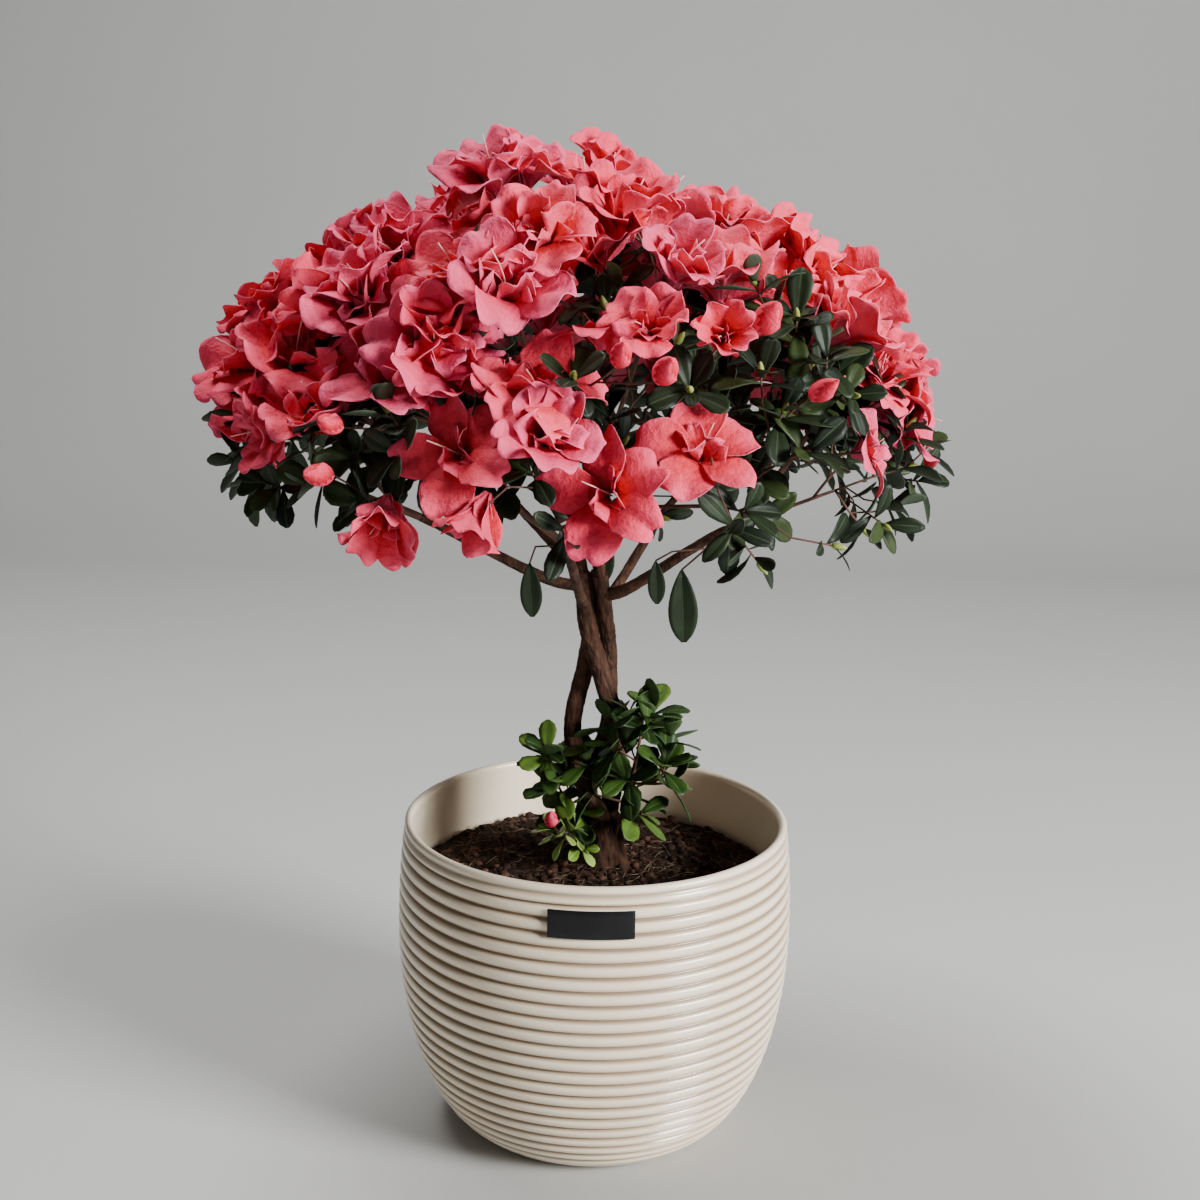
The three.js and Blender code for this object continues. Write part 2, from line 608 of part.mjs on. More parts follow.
// A bloom: five wide lobes round a raised ruffle, closing to a bell as cup goes to 1
function bloomGeometry({ point, facing, radius, cup, spin }) {
  const sideways = Math.abs(facing.z) > 0.8 ? vector(1, 0, 0) : UP.clone();
  const side = sideways.cross(facing).normalize();
  const across = facing.clone().cross(side);
  const on = (ring, turn) => {
    const out = ring.out * (1 - ring.narrows * cup) * radius;
    const height = (ring.height + ring.rises * cup) * radius;
    return point.clone()
      .addScaledVector(side, Math.cos(turn) * out)
      .addScaledVector(across, Math.sin(turn) * out)
      .addScaledVector(facing, height);
  };
  const lobes = BLOOM.lobes;
  const phase = spin * DEG;
  const outer = [];
  const ruffle = [];
  for (let i = 0; i < lobes * 2; i++) {
    const turn = phase + (i / lobes) * Math.PI;
    const isTip = i % 2 === 0;
    outer.push(on(isTip ? BLOOM_RINGS.tip : BLOOM_RINGS.notch, turn));
    if (isTip) ruffle.push(on(BLOOM_RINGS.ruffle, turn));
  }
  const throat = point.clone().addScaledVector(facing, -BLOOM.depth * radius);
  const points = [...outer, ...ruffle, on(BLOOM_RINGS.centre, 0), throat];
  const [firstRuffle, centre, base] = [lobes * 2, lobes * 3, lobes * 3 + 1];
  const triangles = [];
  for (let i = 0; i < lobes; i++) {
    const next = (i + 1) % lobes;
    const tip = 2 * i;
    const notch = tip + 1;
    const nextTip = 2 * next;
    triangles.push([tip, notch, firstRuffle + i], [notch, nextTip, firstRuffle + next]);
    triangles.push([notch, firstRuffle + next, firstRuffle + i]);
    triangles.push([firstRuffle + i, firstRuffle + next, centre]);
    triangles.push([base, notch, tip], [base, nextTip, notch]);
  }
  return faceted(points, triangles);
}

// Spaces: each mass keeps on the inner side of a few planes

function plane(normal, through) {
  return { normal: normal.clone().normalize(), offset: normal.clone().normalize().dot(through) };
}

// Two upright planes through the dome's axis, on either side of an azimuth
function wedge(azimuth, halfAngle) {
  const axis = vector(DOME.x, DOME.y, 0);
  return [plane(compass(azimuth - halfAngle + 90), axis), plane(compass(azimuth + halfAngle - 90), axis)];
}

// The sloping plane between an outer mass and the top of the head
function innerSlope(azimuth) {
  const tilt = OUTER_MASSES.innerTilt * DEG;
  const normal = compass(azimuth).multiplyScalar(Math.sin(tilt)).setZ(-Math.cos(tilt));
  return plane(normal, vector(DOME.x, DOME.y, OUTER_MASSES.apex));
}

function headSpace(bough) {
  if (bough.leaves !== undefined) {
    return [...wedge(bough.azimuth, OUTER_MASSES.halfAngle), innerSlope(bough.azimuth)];
  }
  const slopes = BOUGHS.filter((other) => other.leaves !== undefined).map((other) => {
    const slope = innerSlope(other.azimuth);
    return { normal: slope.normal.negate(), offset: -slope.offset };
  });
  return [...wedge(bough.azimuth, TOP_MASSES.halfAngle), ...slopes];
}

function inSpace(space, point, margin) {
  return space.every(({ normal, offset }) => normal.dot(point) >= offset + margin);
}

function geometryInSpace(space, geometry) {
  const position = geometry.getAttribute("position");
  const point = vector(0, 0, 0);
  for (let i = 0; i < position.count; i++) {
    point.fromBufferAttribute(position, i);
    if (!inSpace(space, point, SPACE_MARGIN)) return false;
  }
  return true;
}

// Moves a bloom in from the planes round its space by a part of its radius, and makes it smaller if need be
function settle(space, site, hasRoom) {
  const tries = BLOOM.shrinks.map((shrink) => {
    const radius = site.radius * shrink;
    const point = site.point.clone();
    space.forEach(({ normal, offset }) => {
      const lean = Math.sqrt(Math.max(0, 1 - normal.dot(site.facing) ** 2));
      const short = offset + SPACE_MARGIN + radius * lean - normal.dot(point);
      if (short > 0) point.addScaledVector(normal, Math.min(short, radius * BLOOM.shift));
    });
    return { ...site, point, radius };
  });
  return tries.find((attempt) => hasRoom(bloomGeometry(attempt))) ?? site;
}

// Keeps the end of a leafy twig a little way from the planes round its space
function drawIn(space, site) {
  const point = site.point.clone();
  space.forEach(({ normal, offset }) => {
    const short = offset + LEAF.clear - normal.dot(point);
    if (site.kind === "leaves" && short > 0) point.addScaledVector(normal, short);
  });
  return { ...site, point };
}

// Twigs

// The stem of a mass, from the end of its bough to the heart of the mass
function massStem(start, middle, end) {
  const curve = new THREE.QuadraticBezierCurve3(start, middle, end);
  const forks = curve.getPoints(TWIG.stemSteps).map((point, i) => ({ point, parent: i - 1, load: 0 }));
  forks.forEach((fork, i) => {
    fork.heading = curve.getTangent(i / TWIG.stemSteps);
  });
  return forks;
}

// The fork that a new twig joins: a near one that lies deeper in, with the least turn
function nearestFork(forks, target, depthOf) {
  let best = null;
  let least = Infinity;
  forks.forEach((fork, index) => {
    const away = target.clone().sub(fork.point);
    const distance = away.length();
    const turn = 1 - away.normalize().dot(fork.heading);
    const cost = distance * (1 + TWIG.turnCost * turn);
    const isDeeper = depthOf(fork.point) < depthOf(target) - TWIG.deeper;
    if (!fork.isEnd && isDeeper && cost < least) {
      least = cost;
      best = index;
    }
  });
  return best ?? 0;
}

// The points of a twig: it leaves its fork half along the fork's own heading and bends to its end
function twigPoints(fork, target) {
  const away = target.clone().sub(fork.point);
  const length = away.length();
  const leaving = away.normalize().add(fork.heading).normalize();
  const control = fork.point.clone().addScaledVector(leaving, length * 0.5);
  const curve = new THREE.QuadraticBezierCurve3(fork.point, control, target);
  return curve.getPoints(Math.max(1, Math.round(length / TWIG.stride)));
}

function twigRadius(load) {
  return TWIG.tip + TWIG.gain * (Math.sqrt(Math.max(load, 1)) - 1);
}

// Grows a twig to each site in turn and keeps those whose twig and blooms or leaves have room
function growMass({ name, seed, stem, stemStart, sites, space, keepOut, depthOf, dress }) {
  const forks = stem;
  const random = seeded(seed);
  const chains = [];
  const dressings = [];
  const blooms = [];
  const root = stem[0].point;
  const hasRoom = (geometry) => geometryInSpace(space, geometry)
    && toSolid(geometry).intersect(keepOut).isEmpty();
  const ordered = [...sites].sort((a, b) => a.point.distanceTo(root) - b.point.distanceTo(root));
  ordered.forEach((given) => {
    const site = given.kind === "bloom" ? settle(space, given, hasRoom) : drawIn(space, given);
    const sink = site.kind === "bloom" ? -site.radius * (BLOOM.depth - BLOOM.rooted) : BUD.sunk;
    const target = site.point.clone().addScaledVector(site.facing, sink);
    const from = nearestFork(forks, target, depthOf);
    const points = twigPoints(forks[from], target);
    const ends = dress(site, points, random)
      .map((choice) => choice.filter(hasRoom))
      .reduce((fullest, choice) => (choice.length > fullest.length ? choice : fullest));
    const isClustered = site.kind === "bloom"
      && blooms.some((bloom) => bloom.point.distanceTo(site.point) < BLOOM.clustered * site.radius);
    if (ends.length > 0 && isClustered) dressings.push(...ends);
    if (ends.length === 0 || isClustered || !hasRoom(tube(points, () => TWIG.tip, TWIG.corners))) return;
    if (site.kind === "bloom") blooms.push(site);
    const chain = [from];
    points.slice(1).forEach((point, i) => {
      const heading = point.clone().sub(points[i]).normalize();
      const isEnd = i === points.length - 2;
      chain.push(forks.push({ point, heading, parent: chain[chain.length - 1], load: 0, isEnd }) - 1);
    });
    for (let fork = chain[chain.length - 1]; fork >= 0; fork = forks[fork].parent) forks[fork].load += 1;
    chains.push(chain);
    dressings.push(...ends);
  });
  const tubeOf = (chain, order) => {
    const loads = chain.map((fork, i) => (i === 0 ? forks[chain[1]].load : forks[fork].load));
    return tube(chain.map((fork) => forks[fork].point), (t) => {
      return twigRadius(loads[Math.round(t * (chain.length - 1))]);
    }, TWIG.corners, order === 0 ? stemStart : undefined);
  };
  const stemChain = stem.slice(0, TWIG.stemSteps + 1).map((_, i) => i);
  const tubes = [stemChain, ...chains].map(tubeOf).filter((twig, i) => i === 0 || hasRoom(twig));
  return { name, solid: fuse([...tubes, ...dressings].map(toSolid)) };
}

// What a twig of the head can end in, as a list of choices: the one with the most room is used
function dressHead(site, points, random) {
  if (site.kind === "bloom") return [[bloomGeometry(site)]];
  if (site.kind === "bud") return [[budGeometry(site.point, site.facing, BUD)]];
  if (site.kind === "hanging") {
    const downward = vector(HANGING_SHAPE.sway, 0, -1).normalize();
    return [[bladeGeometry(site.point, downward, vector(0, -1, 0), {
      length: site.length,
      width: site.length * HANGING_SHAPE.width,
      thickness: LEAF.thickness,
    })]];
  }
  const leaves = random() < 0.5 ? 3 : 4;
  const length = LEAF.length * mix(LEAF.shortest, LEAF.longest, random());
  return SPRAY_TURNS.map((turn) => sprayOf(leaves, points, site.spin + turn, length));
}

function headMass(bough, index, sites, keepOut) {
  const space = headSpace(bough);
  const reach = bough.leaves === undefined ? TOP_LIMB : OUTER_LIMB;
  const line = boughLine(bough);
  const start = line.getPoint(1).addScaledVector(line.getTangent(1), GAP);
  const heart = domeAxis(bough.azimuth, reach.heartOut, reach.heartHeight);
  const middle = start.clone().addScaledVector(line.getTangent(1), start.distanceTo(heart) / 2);
  const hanging = HANGING_LEAVES.map(({ azimuth, out, height, length }) => {
    return { kind: "hanging", point: domeAxis(azimuth, out, height), facing: UP.clone(), length };
  });
  return growMass({
    name: `foliage_${bough.name}`,
    seed: 101 + index * 17,
    stem: massStem(start, middle, heart),
    sites: [...sites, ...hanging].filter((site) => inSpace(space, site.point, 0)),
    space,
    keepOut,
    depthOf: domeDepth,
    dress: dressHead,
  });
}

// Young shoots: sprays spread by the golden angle up a stem that leaves the side of the trunk foot
function shootMass(shoot, keepOut) {
  const random = seeded(shoot.seed);
  const root = footPoint(shoot.foot, shoot.height, GAP);
  const heart = vector(...shoot.heart);
  const tip = vector(...shoot.tip);
  const sites = [];
  for (let i = 0; i < shoot.sprays; i++) {
    const along = (i + 0.5) / shoot.sprays;
    const point = root.clone().lerp(tip, mix(SHOOT_SHAPE.bare, 1, along));
    const bulge = Math.sin(Math.PI * mix(...SHOOT_SHAPE.bulge, along));
    const turned = compass(SHOOT_SHAPE.start + i * GOLDEN_ANGLE);
    const ray = turned.multiply(vector(shoot.spread[0], shoot.spread[1], 0));
    point.addScaledVector(ray, bulge).addScaledVector(UP, (random() - 0.5) * SHOOT_SHAPE.wander);
    const facing = ray.clone().multiplyScalar(SHOOT_SHAPE.outward).addScaledVector(UP, shoot.spread[2]);
    const kind = shoot.bud && i === shoot.sprays - 1 ? "bud" : "leaves";
    sites.push({ kind, point, facing: facing.normalize(), spin: random() * 360 });
  }
  return growMass({
    name: shoot.name,
    seed: shoot.seed,
    stem: massStem(root, heart, tip),
    stemStart: compass(shoot.foot),
    sites,
    space: shoot.space.map(([x, y, z, offset]) => ({ normal: vector(x, y, z), offset })),
    keepOut,
    depthOf: (point) => point.distanceTo(root) / tip.distanceTo(root),
    dress: (site, points, draw) => {
      if (site.kind === "bud") return [[budGeometry(site.point, site.facing, SHOOT_BUD)]];
      const leaves = draw() < 0.5 ? 3 : 4;
      return SPRAY_TURNS.map((turn) => sprayOf(leaves, points, site.spin + turn, shoot.leaf));
    },
  });
}

// The whole tree

function named(name, geometry, colour) {
  const mesh = new THREE.Mesh(geometry, new THREE.MeshStandardMaterial(colour));
  mesh.name = name;
  return mesh;
}

function buildTree() {
  const tree = new THREE.Group();
  tree.add(named("pot", potGeometry(), COLOURS.glaze));
  tree.add(named("front_plate", plateGeometry(), COLOURS.plate));
  tree.add(named("soil", soilGeometry(), COLOURS.peat));
  tree.add(named("trunk_foot", footGeometry(), COLOURS.bark));

  const stems = Object.keys(STEMS).map(stemLimb);
  const boughs = BOUGHS.map(boughLimb);
  const limbs = [...stems, ...boughs];
  limbs.forEach((item) => tree.add(named(item.name, limbGeometry(item), COLOURS.bark)));

  const keepOut = [...limbs.map((item) => limbGeometry(item, LIMB_CLEARANCE)), footGeometry()]
    .map(toSolid)
    .reduce((sum, solid) => sum.add(solid));
  const sites = headSites();
  const masses = BOUGHS.map((bough, index) => headMass(bough, index, sites, keepOut));
  masses.forEach(({ name, solid }) => tree.add(named(name, toGeometry(solid), COLOURS.blossom)));
  SHOOTS.map((shoot) => shootMass(shoot, keepOut)).forEach(({ name, solid }) => {
    tree.add(named(name, toGeometry(solid), COLOURS.shoots));
  });
  return tree;
}

export default buildTree();
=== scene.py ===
"""Looks of a flowering azalea bonsai in a ribbed cream pot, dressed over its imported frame.

Sizes in the classes are millimetres in the frame's axes, with -Y to the front, and become metres where
a mesh is made. The head grows by the same seeded rule as the solids, carried on to finer twigs.
"""

import logging
from dataclasses import dataclass, field, replace
from enum import Enum, IntEnum
from math import asin, atan2, copysign, cos, degrees, exp, hypot, pi, radians, sin, sqrt, tau
from typing import Callable, Sequence

import bmesh
import bpy
import numpy as np
from bmesh.types import BMesh, BMVert
from bpy.types import Mesh, Node, NodeSocket, NodeTree, Object
from mathutils import Matrix, Vector, noise


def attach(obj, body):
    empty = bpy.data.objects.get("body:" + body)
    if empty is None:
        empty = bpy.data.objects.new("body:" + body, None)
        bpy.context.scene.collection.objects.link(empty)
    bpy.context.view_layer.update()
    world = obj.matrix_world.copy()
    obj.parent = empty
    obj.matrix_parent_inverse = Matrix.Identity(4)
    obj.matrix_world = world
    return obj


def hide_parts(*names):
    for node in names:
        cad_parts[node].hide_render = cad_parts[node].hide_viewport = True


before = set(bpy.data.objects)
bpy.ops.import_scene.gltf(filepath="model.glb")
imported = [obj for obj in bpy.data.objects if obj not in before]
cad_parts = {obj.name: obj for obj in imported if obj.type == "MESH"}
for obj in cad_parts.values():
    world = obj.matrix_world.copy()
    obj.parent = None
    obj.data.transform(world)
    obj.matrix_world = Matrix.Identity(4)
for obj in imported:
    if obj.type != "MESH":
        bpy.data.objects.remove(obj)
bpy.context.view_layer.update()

LOG = logging.getLogger("bonsai")
MM = 0.001
MERGE = 0.01
GOLDEN_ANGLE = 137.508
UP = Vector((0, 0, 1))
Span = tuple[float, float]
Triple = tuple[float, float, float]


def compass(azimuth: float) -> Vector:
    """A level unit vector at an azimuth in degrees, from +X through +Y."""
    return Vector((cos(radians(azimuth)), sin(radians(azimuth)), 0))


def mix(low: float, high: float, part: float) -> float:
    """The value a part of the way from low to high."""
    return low + (high - low) * part


def smooth(part: float) -> float:
    """Eases from 0 to 1 and stays within them."""
    part = min(max(part, 0.0), 1.0)
    return part * part * (3 - 2 * part)


def angle_between(first: float, second: float) -> float:
    """How far apart two azimuths are, in degrees."""
    return abs((first - second + 540) % 360 - 180)


def square_to(along: Vector) -> Vector:
    """A unit vector square to a direction, as upright as it can be."""
    rough = Vector((1, 0, 0)) if abs(along.z) > 0.8 else UP
    return rough.cross(along).normalized()


def bell(away: float, width: float) -> float:
    """Falls from 1 to 0 with the distance away, over about the width."""
    return exp(-((away / width) ** 2))


def around(side: Vector, across: Vector, turn: float) -> Vector:
    """The direction at a turn in radians from one axis to another that is square to it."""
    return side * cos(turn) + across * sin(turn)


def is_near(points: Sequence[Vector], place: Vector, room: float) -> bool:
    """Whether any of the points lies nearer to a place than the room it needs."""
    return any((point - place).length < room for point in points)


def dimmed(colour: Sequence[float], part: float) -> tuple[float, ...]:
    """A colour with a part of its brightness."""
    return tuple(channel * part for channel in colour)


def placed(point: Vector, along: Vector, face: Vector, size: float) -> Matrix:
    """Turns and scales a shape, with its x along, its z to the face, and its zero at a point.

    Args:
        point: where the shape's zero goes, in millimetres.
        along: the way that its x axis points.
        face: roughly the way that its z axis points.
        size: how many millimetres one unit of the shape becomes.

    Returns:
        The matrix from the shape's units to metres in the frame.
    """
    along = along.normalized()
    face = (face - along * face.dot(along)).normalized()
    turn = Matrix((along, face.cross(along), face)).transposed().to_4x4()
    return Matrix.Translation(point * MM) @ turn @ Matrix.Scale(size * MM, 4)


class Draw:
    """A plain seeded generator, the same one that grew the solids."""

    def __init__(self, seed: int) -> None:
        """Starts the row of numbers at a seed."""
        self.state = seed

    def number(self) -> float:
        """The next number between 0 and 1."""
        self.state = self.state * 48271 % 2147483647
        return self.state / 2147483647

    def between(self, low: float, high: float) -> float:
        """The next number between two limits."""
        return mix(low, high, self.number())

    def under(self, limit: int) -> int:
        """The next whole number from 0 that stays under a limit."""
        return int(self.number() * limit) % limit


# Shader node groups and finishes


def set_inputs(node: Node, **values: object) -> None:
    """Sets a node's inputs by name, with underscores for spaces."""
    for name, value in values.items():
        node.inputs[name.replace("_", " ")].default_value = value


class NodeSheet:
    """Short ways to add and link the nodes of one tree."""

    def __init__(self, tree: NodeTree) -> None:
        """Starts on a tree that is empty or holds only a shader and its output."""
        self.tree = tree

    def add(self, kind: str, **values: object) -> Node:
        """Adds a node and sets its own properties.

        Args:
            kind: the node's type name after ShaderNode.
            values: properties of the node.

        Returns:
            The new node.
        """
        node = self.tree.nodes.new("ShaderNode" + kind)
        for name, value in values.items():
            setattr(node, name, value)
        return node

    def link(self, source: NodeSocket, target: NodeSocket) -> None:
        """Links an output to an input."""
        self.tree.links.new(source, target)

    def wire(self, *rows: tuple[Node, str, Node, str | int]) -> None:
        """Links nodes: each row is a node, its output's name, the next node and its input."""
        for source, leaving, target, entering in rows:
            self.link(source.outputs[leaving], target.inputs[entering])


@dataclass(frozen=True)
class ShaderGroup:
    """A node group built once and placed in each material with its own values."""

    name: str
    inputs: tuple[tuple[str, str, object], ...]
    outputs: tuple[tuple[str, str], ...]
    wire: Callable[[NodeSheet, Node, Node], None]

    def tree(self) -> NodeTree:
        """The group's tree, made the first time that it is asked for."""
        known = bpy.data.node_groups.get(self.name)
        if known:
            return known
        tree = bpy.data.node_groups.new(self.name, "ShaderNodeTree")
        for name, kind, value in self.inputs:
            tree.interface.new_socket(name, in_out="INPUT", socket_type=kind).default_value = value
        for name, kind in self.outputs:
            tree.interface.new_socket(name, in_out="OUTPUT", socket_type=kind)
        sheet = NodeSheet(tree)
        self.wire(sheet, tree.nodes.new("NodeGroupInput"), tree.nodes.new("NodeGroupOutput"))
        return tree

    def place(self, sheet: NodeSheet, **values: object) -> Node:
        """Puts the group in a material.

        Args:
            sheet: the material's node sheet.
            values: the group's inputs by name, with underscores for spaces.

        Returns:
            The group node.
        """
        node = sheet.add("Group")
        node.node_tree = self.tree()
        set_inputs(node, **values)
        return node


def wire_mottle(sheet: NodeSheet, entry: Node, leaving: Node) -> None:
    """Blends a colour into a shade of it in soft patches."""
    place = sheet.add("TexCoord")
    grain = sheet.add("TexNoise")
    set_inputs(grain, Detail=4)
    spread = sheet.add("MapRange")
    set_inputs(spread, From_Min=0.38, From_Max=0.64)
    amount = sheet.add("Math", operation="MULTIPLY")
    blend = sheet.add("Mix", data_type="RGBA")
    sheet.wire(
        (place, "Object", grain, "Vector"),
        (entry, "Scale", grain, "Scale"),
        (grain, "Fac", spread, "Value"),
        (spread, "Result", amount, 0),
        (entry, "Amount", amount, 1),
        (amount, "Value", blend, "Factor"),
        (entry, "Colour", blend, "A"),
        (entry, "Shade", blend, "B"),
        (blend, "Result", leaving, "Colour"),
        (amount, "Value", leaving, "Mask"),
    )


def wire_grain(sheet: NodeSheet, entry: Node, leaving: Node) -> None:
    """Fine relief from noise that can be drawn out along the upright."""
    place = sheet.add("TexCoord")
    stretch = sheet.add("Mapping")
    squeeze = sheet.add("CombineXYZ")
    set_inputs(squeeze, X=1, Y=1)
    grain = sheet.add("TexNoise")
    set_inputs(grain, Detail=6, Roughness=0.6)
    sheet.wire(
        (entry, "Upright", squeeze, "Z"),
        (squeeze, "Vector", stretch, "Scale"),
        (place, "Object", stretch, "Vector"),
        (stretch, "Vector", grain, "Vector"),
        (entry, "Scale", grain, "Scale"),
        (grain, "Fac", leaving, "Height"),
    )


MOTTLE = ShaderGroup(
    "soft_mottle",
    (
        ("Colour", "NodeSocketColor", (0.5, 0.5, 0.5, 1)),
        ("Shade", "NodeSocketColor", (0.3, 0.3, 0.3, 1)),
        ("Scale", "NodeSocketFloat", 40.0),
        ("Amount", "NodeSocketFloat", 0.5),
    ),
    (("Colour", "NodeSocketColor"), ("Mask", "NodeSocketFloat")),
    wire_mottle,
)
GRAIN = ShaderGroup(
    "fine_grain",
    (("Scale", "NodeSocketFloat", 200.0), ("Upright", "NodeSocketFloat", 1.0)),
    (("Height", "NodeSocketFloat"),),
    wire_grain,
)


@dataclass(frozen=True)
class Finish:
    """A surface finish: a colour that drifts into a shade of it, its roughness and its grain."""

    name: str
    colour: Triple
    shade: Triple
    patches: float = 60.0
    amount: float = 0.6
    roughness: float = 0.5
    grain: float = 400.0
    upright: float = 1.0
    relief: float = 0.15
    depth: float = 0.0006
    coat: float = 0.0
    coat_roughness: float = 0.2
    specular: float = 0.5
    subsurface: float = 0.0
    scatter: float = 0.004

    def material(self) -> bpy.types.Material:
        """The material, made the first time that it is asked for."""
        known = bpy.data.materials.get(self.name)
        if known:
            return known
        made = bpy.data.materials.new(self.name)
        made.use_nodes = True
        made.diffuse_color = (*self.colour, 1)
        sheet = NodeSheet(made.node_tree)
        shader = made.node_tree.nodes["Principled BSDF"]
        set_inputs(
            shader, Roughness=self.roughness, Coat_Weight=self.coat, Coat_Roughness=self.coat_roughness,
            Specular_IOR_Level=self.specular, Subsurface_Weight=self.subsurface,
            Subsurface_Scale=self.scatter,
        )
        sheet.link(self.surface_colour(sheet), shader.inputs["Base Color"])
        grain = GRAIN.place(sheet, Scale=self.grain, Upright=self.upright)
        bump = sheet.add("Bump")
        set_inputs(bump, Strength=self.relief, Distance=self.depth)
        sheet.wire((grain, "Height", bump, "Height"), (bump, "Normal", shader, "Normal"))
        return made

    def surface_colour(self, sheet: NodeSheet) -> NodeSocket:
        """The socket that the base colour comes from."""
        colour, shade = (*self.colour, 1), (*self.shade, 1)
        mottle = MOTTLE.place(sheet, Colour=colour, Shade=shade, Scale=self.patches, Amount=self.amount)
        return mottle.outputs["Colour"]


@dataclass(frozen=True)
class PaintedShadeAndToneFinish(Finish):
    """A finish darkened by the mesh's own painted_shade_and_tone attribute: painted shade in the pot's
    grooves and the bark's furrows, and random dark patches of tone on the peat.
    """

    # the colour that the painted shade and tone blend towards
    painted_shade_and_tone: Triple = (0.1, 0.06, 0.04)
    deepest: float = 0.8

    def surface_colour(self, sheet: NodeSheet) -> NodeSocket:
        """The mottled colour, darkened by the painted shade and tone that the mesh carries."""
        mottled = super().surface_colour(sheet)
        mask = sheet.add("Attribute", attribute_name="painted_shade_and_tone")
        amount = sheet.add("Math", operation="MULTIPLY")
        amount.inputs[1].default_value = self.deepest
        blend = sheet.add("Mix", data_type="RGBA")
        set_inputs(blend, B=(*self.painted_shade_and_tone, 1))
        sheet.wire((mask, "Fac", amount, 0), (amount, "Value", blend, "Factor"))
        sheet.link(mottled, blend.inputs["A"])
        return blend.outputs["Result"]


# painted shade: the glaze's painted_shade_and_tone colour is a brown painted into the grooves
GLAZE = PaintedShadeAndToneFinish(
    "cream_glaze", (0.97, 0.84, 0.64), (0.89, 0.72, 0.5), patches=24, amount=0.4, roughness=0.26,
    grain=110, relief=0.05, depth=0.0008, coat=0.4, painted_shade_and_tone=(0.2, 0.115, 0.055), deepest=0.95,
)
PLATE_BLACK = Finish(
    "plain_black", (0.004, 0.004, 0.005), (0.008, 0.008, 0.009), patches=90, roughness=0.35, grain=900,
    relief=0.05, depth=0.0002, specular=0.3,
)
# the peat's painted_shade_and_tone colour darkens random patches of its own tone
PEAT = PaintedShadeAndToneFinish(
    "damp_peat", (0.062, 0.031, 0.019), (0.02, 0.011, 0.007), patches=260, amount=0.9, roughness=0.95,
    grain=700, relief=0.9, depth=0.002, specular=0.2, painted_shade_and_tone=(0.005, 0.003, 0.002), deepest=0.8,
)
CRUMB = Finish(
    "peat_crumb", (0.115, 0.055, 0.033), (0.03, 0.016, 0.01), patches=300, amount=0.9, roughness=0.92,
    grain=900, relief=0.8, depth=0.001, specular=0.2,
)
FIBRE = Finish(
    "peat_fibre", (0.3, 0.23, 0.15), (0.1, 0.065, 0.04), patches=160, amount=0.8, roughness=0.85, grain=900,
    specular=0.2,
)
# painted shade: the bark's near-black painted_shade_and_tone colour goes into its furrows
BARK = PaintedShadeAndToneFinish(
    "ridged_bark", (0.105, 0.048, 0.028), (0.035, 0.017, 0.011), patches=150, amount=0.9, roughness=0.82,
    grain=520, upright=0.2, relief=1, depth=0.0018, specular=0.15, painted_shade_and_tone=(0.014, 0.008, 0.006),
    deepest=0.95,
)
# partly the foot's own darker brown, partly painted shade where it lies under the shoots
SHADED_ROOT_BARK = PaintedShadeAndToneFinish(
    "shaded_root_bark", (0.07, 0.032, 0.019), (0.026, 0.013, 0.008), patches=90, amount=0.9, roughness=0.9,
    grain=420, upright=0.3, relief=1, depth=0.002, specular=0.1, painted_shade_and_tone=(0.006, 0.004, 0.003),
    deepest=0.95,
)
TWIG_BARK = Finish(
    "twig_bark", (0.12, 0.053, 0.033), (0.045, 0.024, 0.015), patches=150, amount=0.8, roughness=0.75,
    grain=900, upright=0.4, relief=0.4, depth=0.0005, specular=0.3,
)


class PetalSlot(IntEnum):
    """A petal's material slots after those of its blade, which run from throat to outer part."""

    EDGE = 7
    BACK = 8
    CALYX = 9
    STYLE = 10


BLADE_STEPS = PetalSlot.EDGE.value
PALETTE_SLOTS = len(PetalSlot) + BLADE_STEPS


@dataclass(frozen=True)
class Palette:
    """The petal tints of one kind of bloom."""

    name: str
    throat: Triple
    body: Triple
    outer: Triple
    edge: Triple
    back: Triple
    body_at: float = 0.5
    drift: float = 0.8

    def blade(self, part: float) -> tuple[float, ...]:
        """The blade's tint a part of the way from the throat to the outer part."""
        if part < self.body_at:
            return tuple(mix(a, b, part / self.body_at) for a, b in zip(self.throat, self.body))
        beyond = (part - self.body_at) / (1 - self.body_at)
        return tuple(mix(a, b, beyond) for a, b in zip(self.body, self.outer))

    def finishes(self) -> list[Finish]:
        """One petal finish for each tint, then those of the calyx and the style."""
        tints = {f"blade_{step}": self.blade(step / (BLADE_STEPS - 1)) for step in range(BLADE_STEPS)}
        tints |= {"edge": self.edge, "back": self.back}
        made = [
            Finish(
                f"petal_{self.name}_{part}", tint, dimmed(tint, self.drift), patches=90, amount=0.5,
                roughness=0.6, grain=190, relief=0.8, depth=0.0024, specular=0.16, subsurface=0.12,
            )
            for part, tint in tints.items()
        ]
        return [*made, CALYX, STYLE]


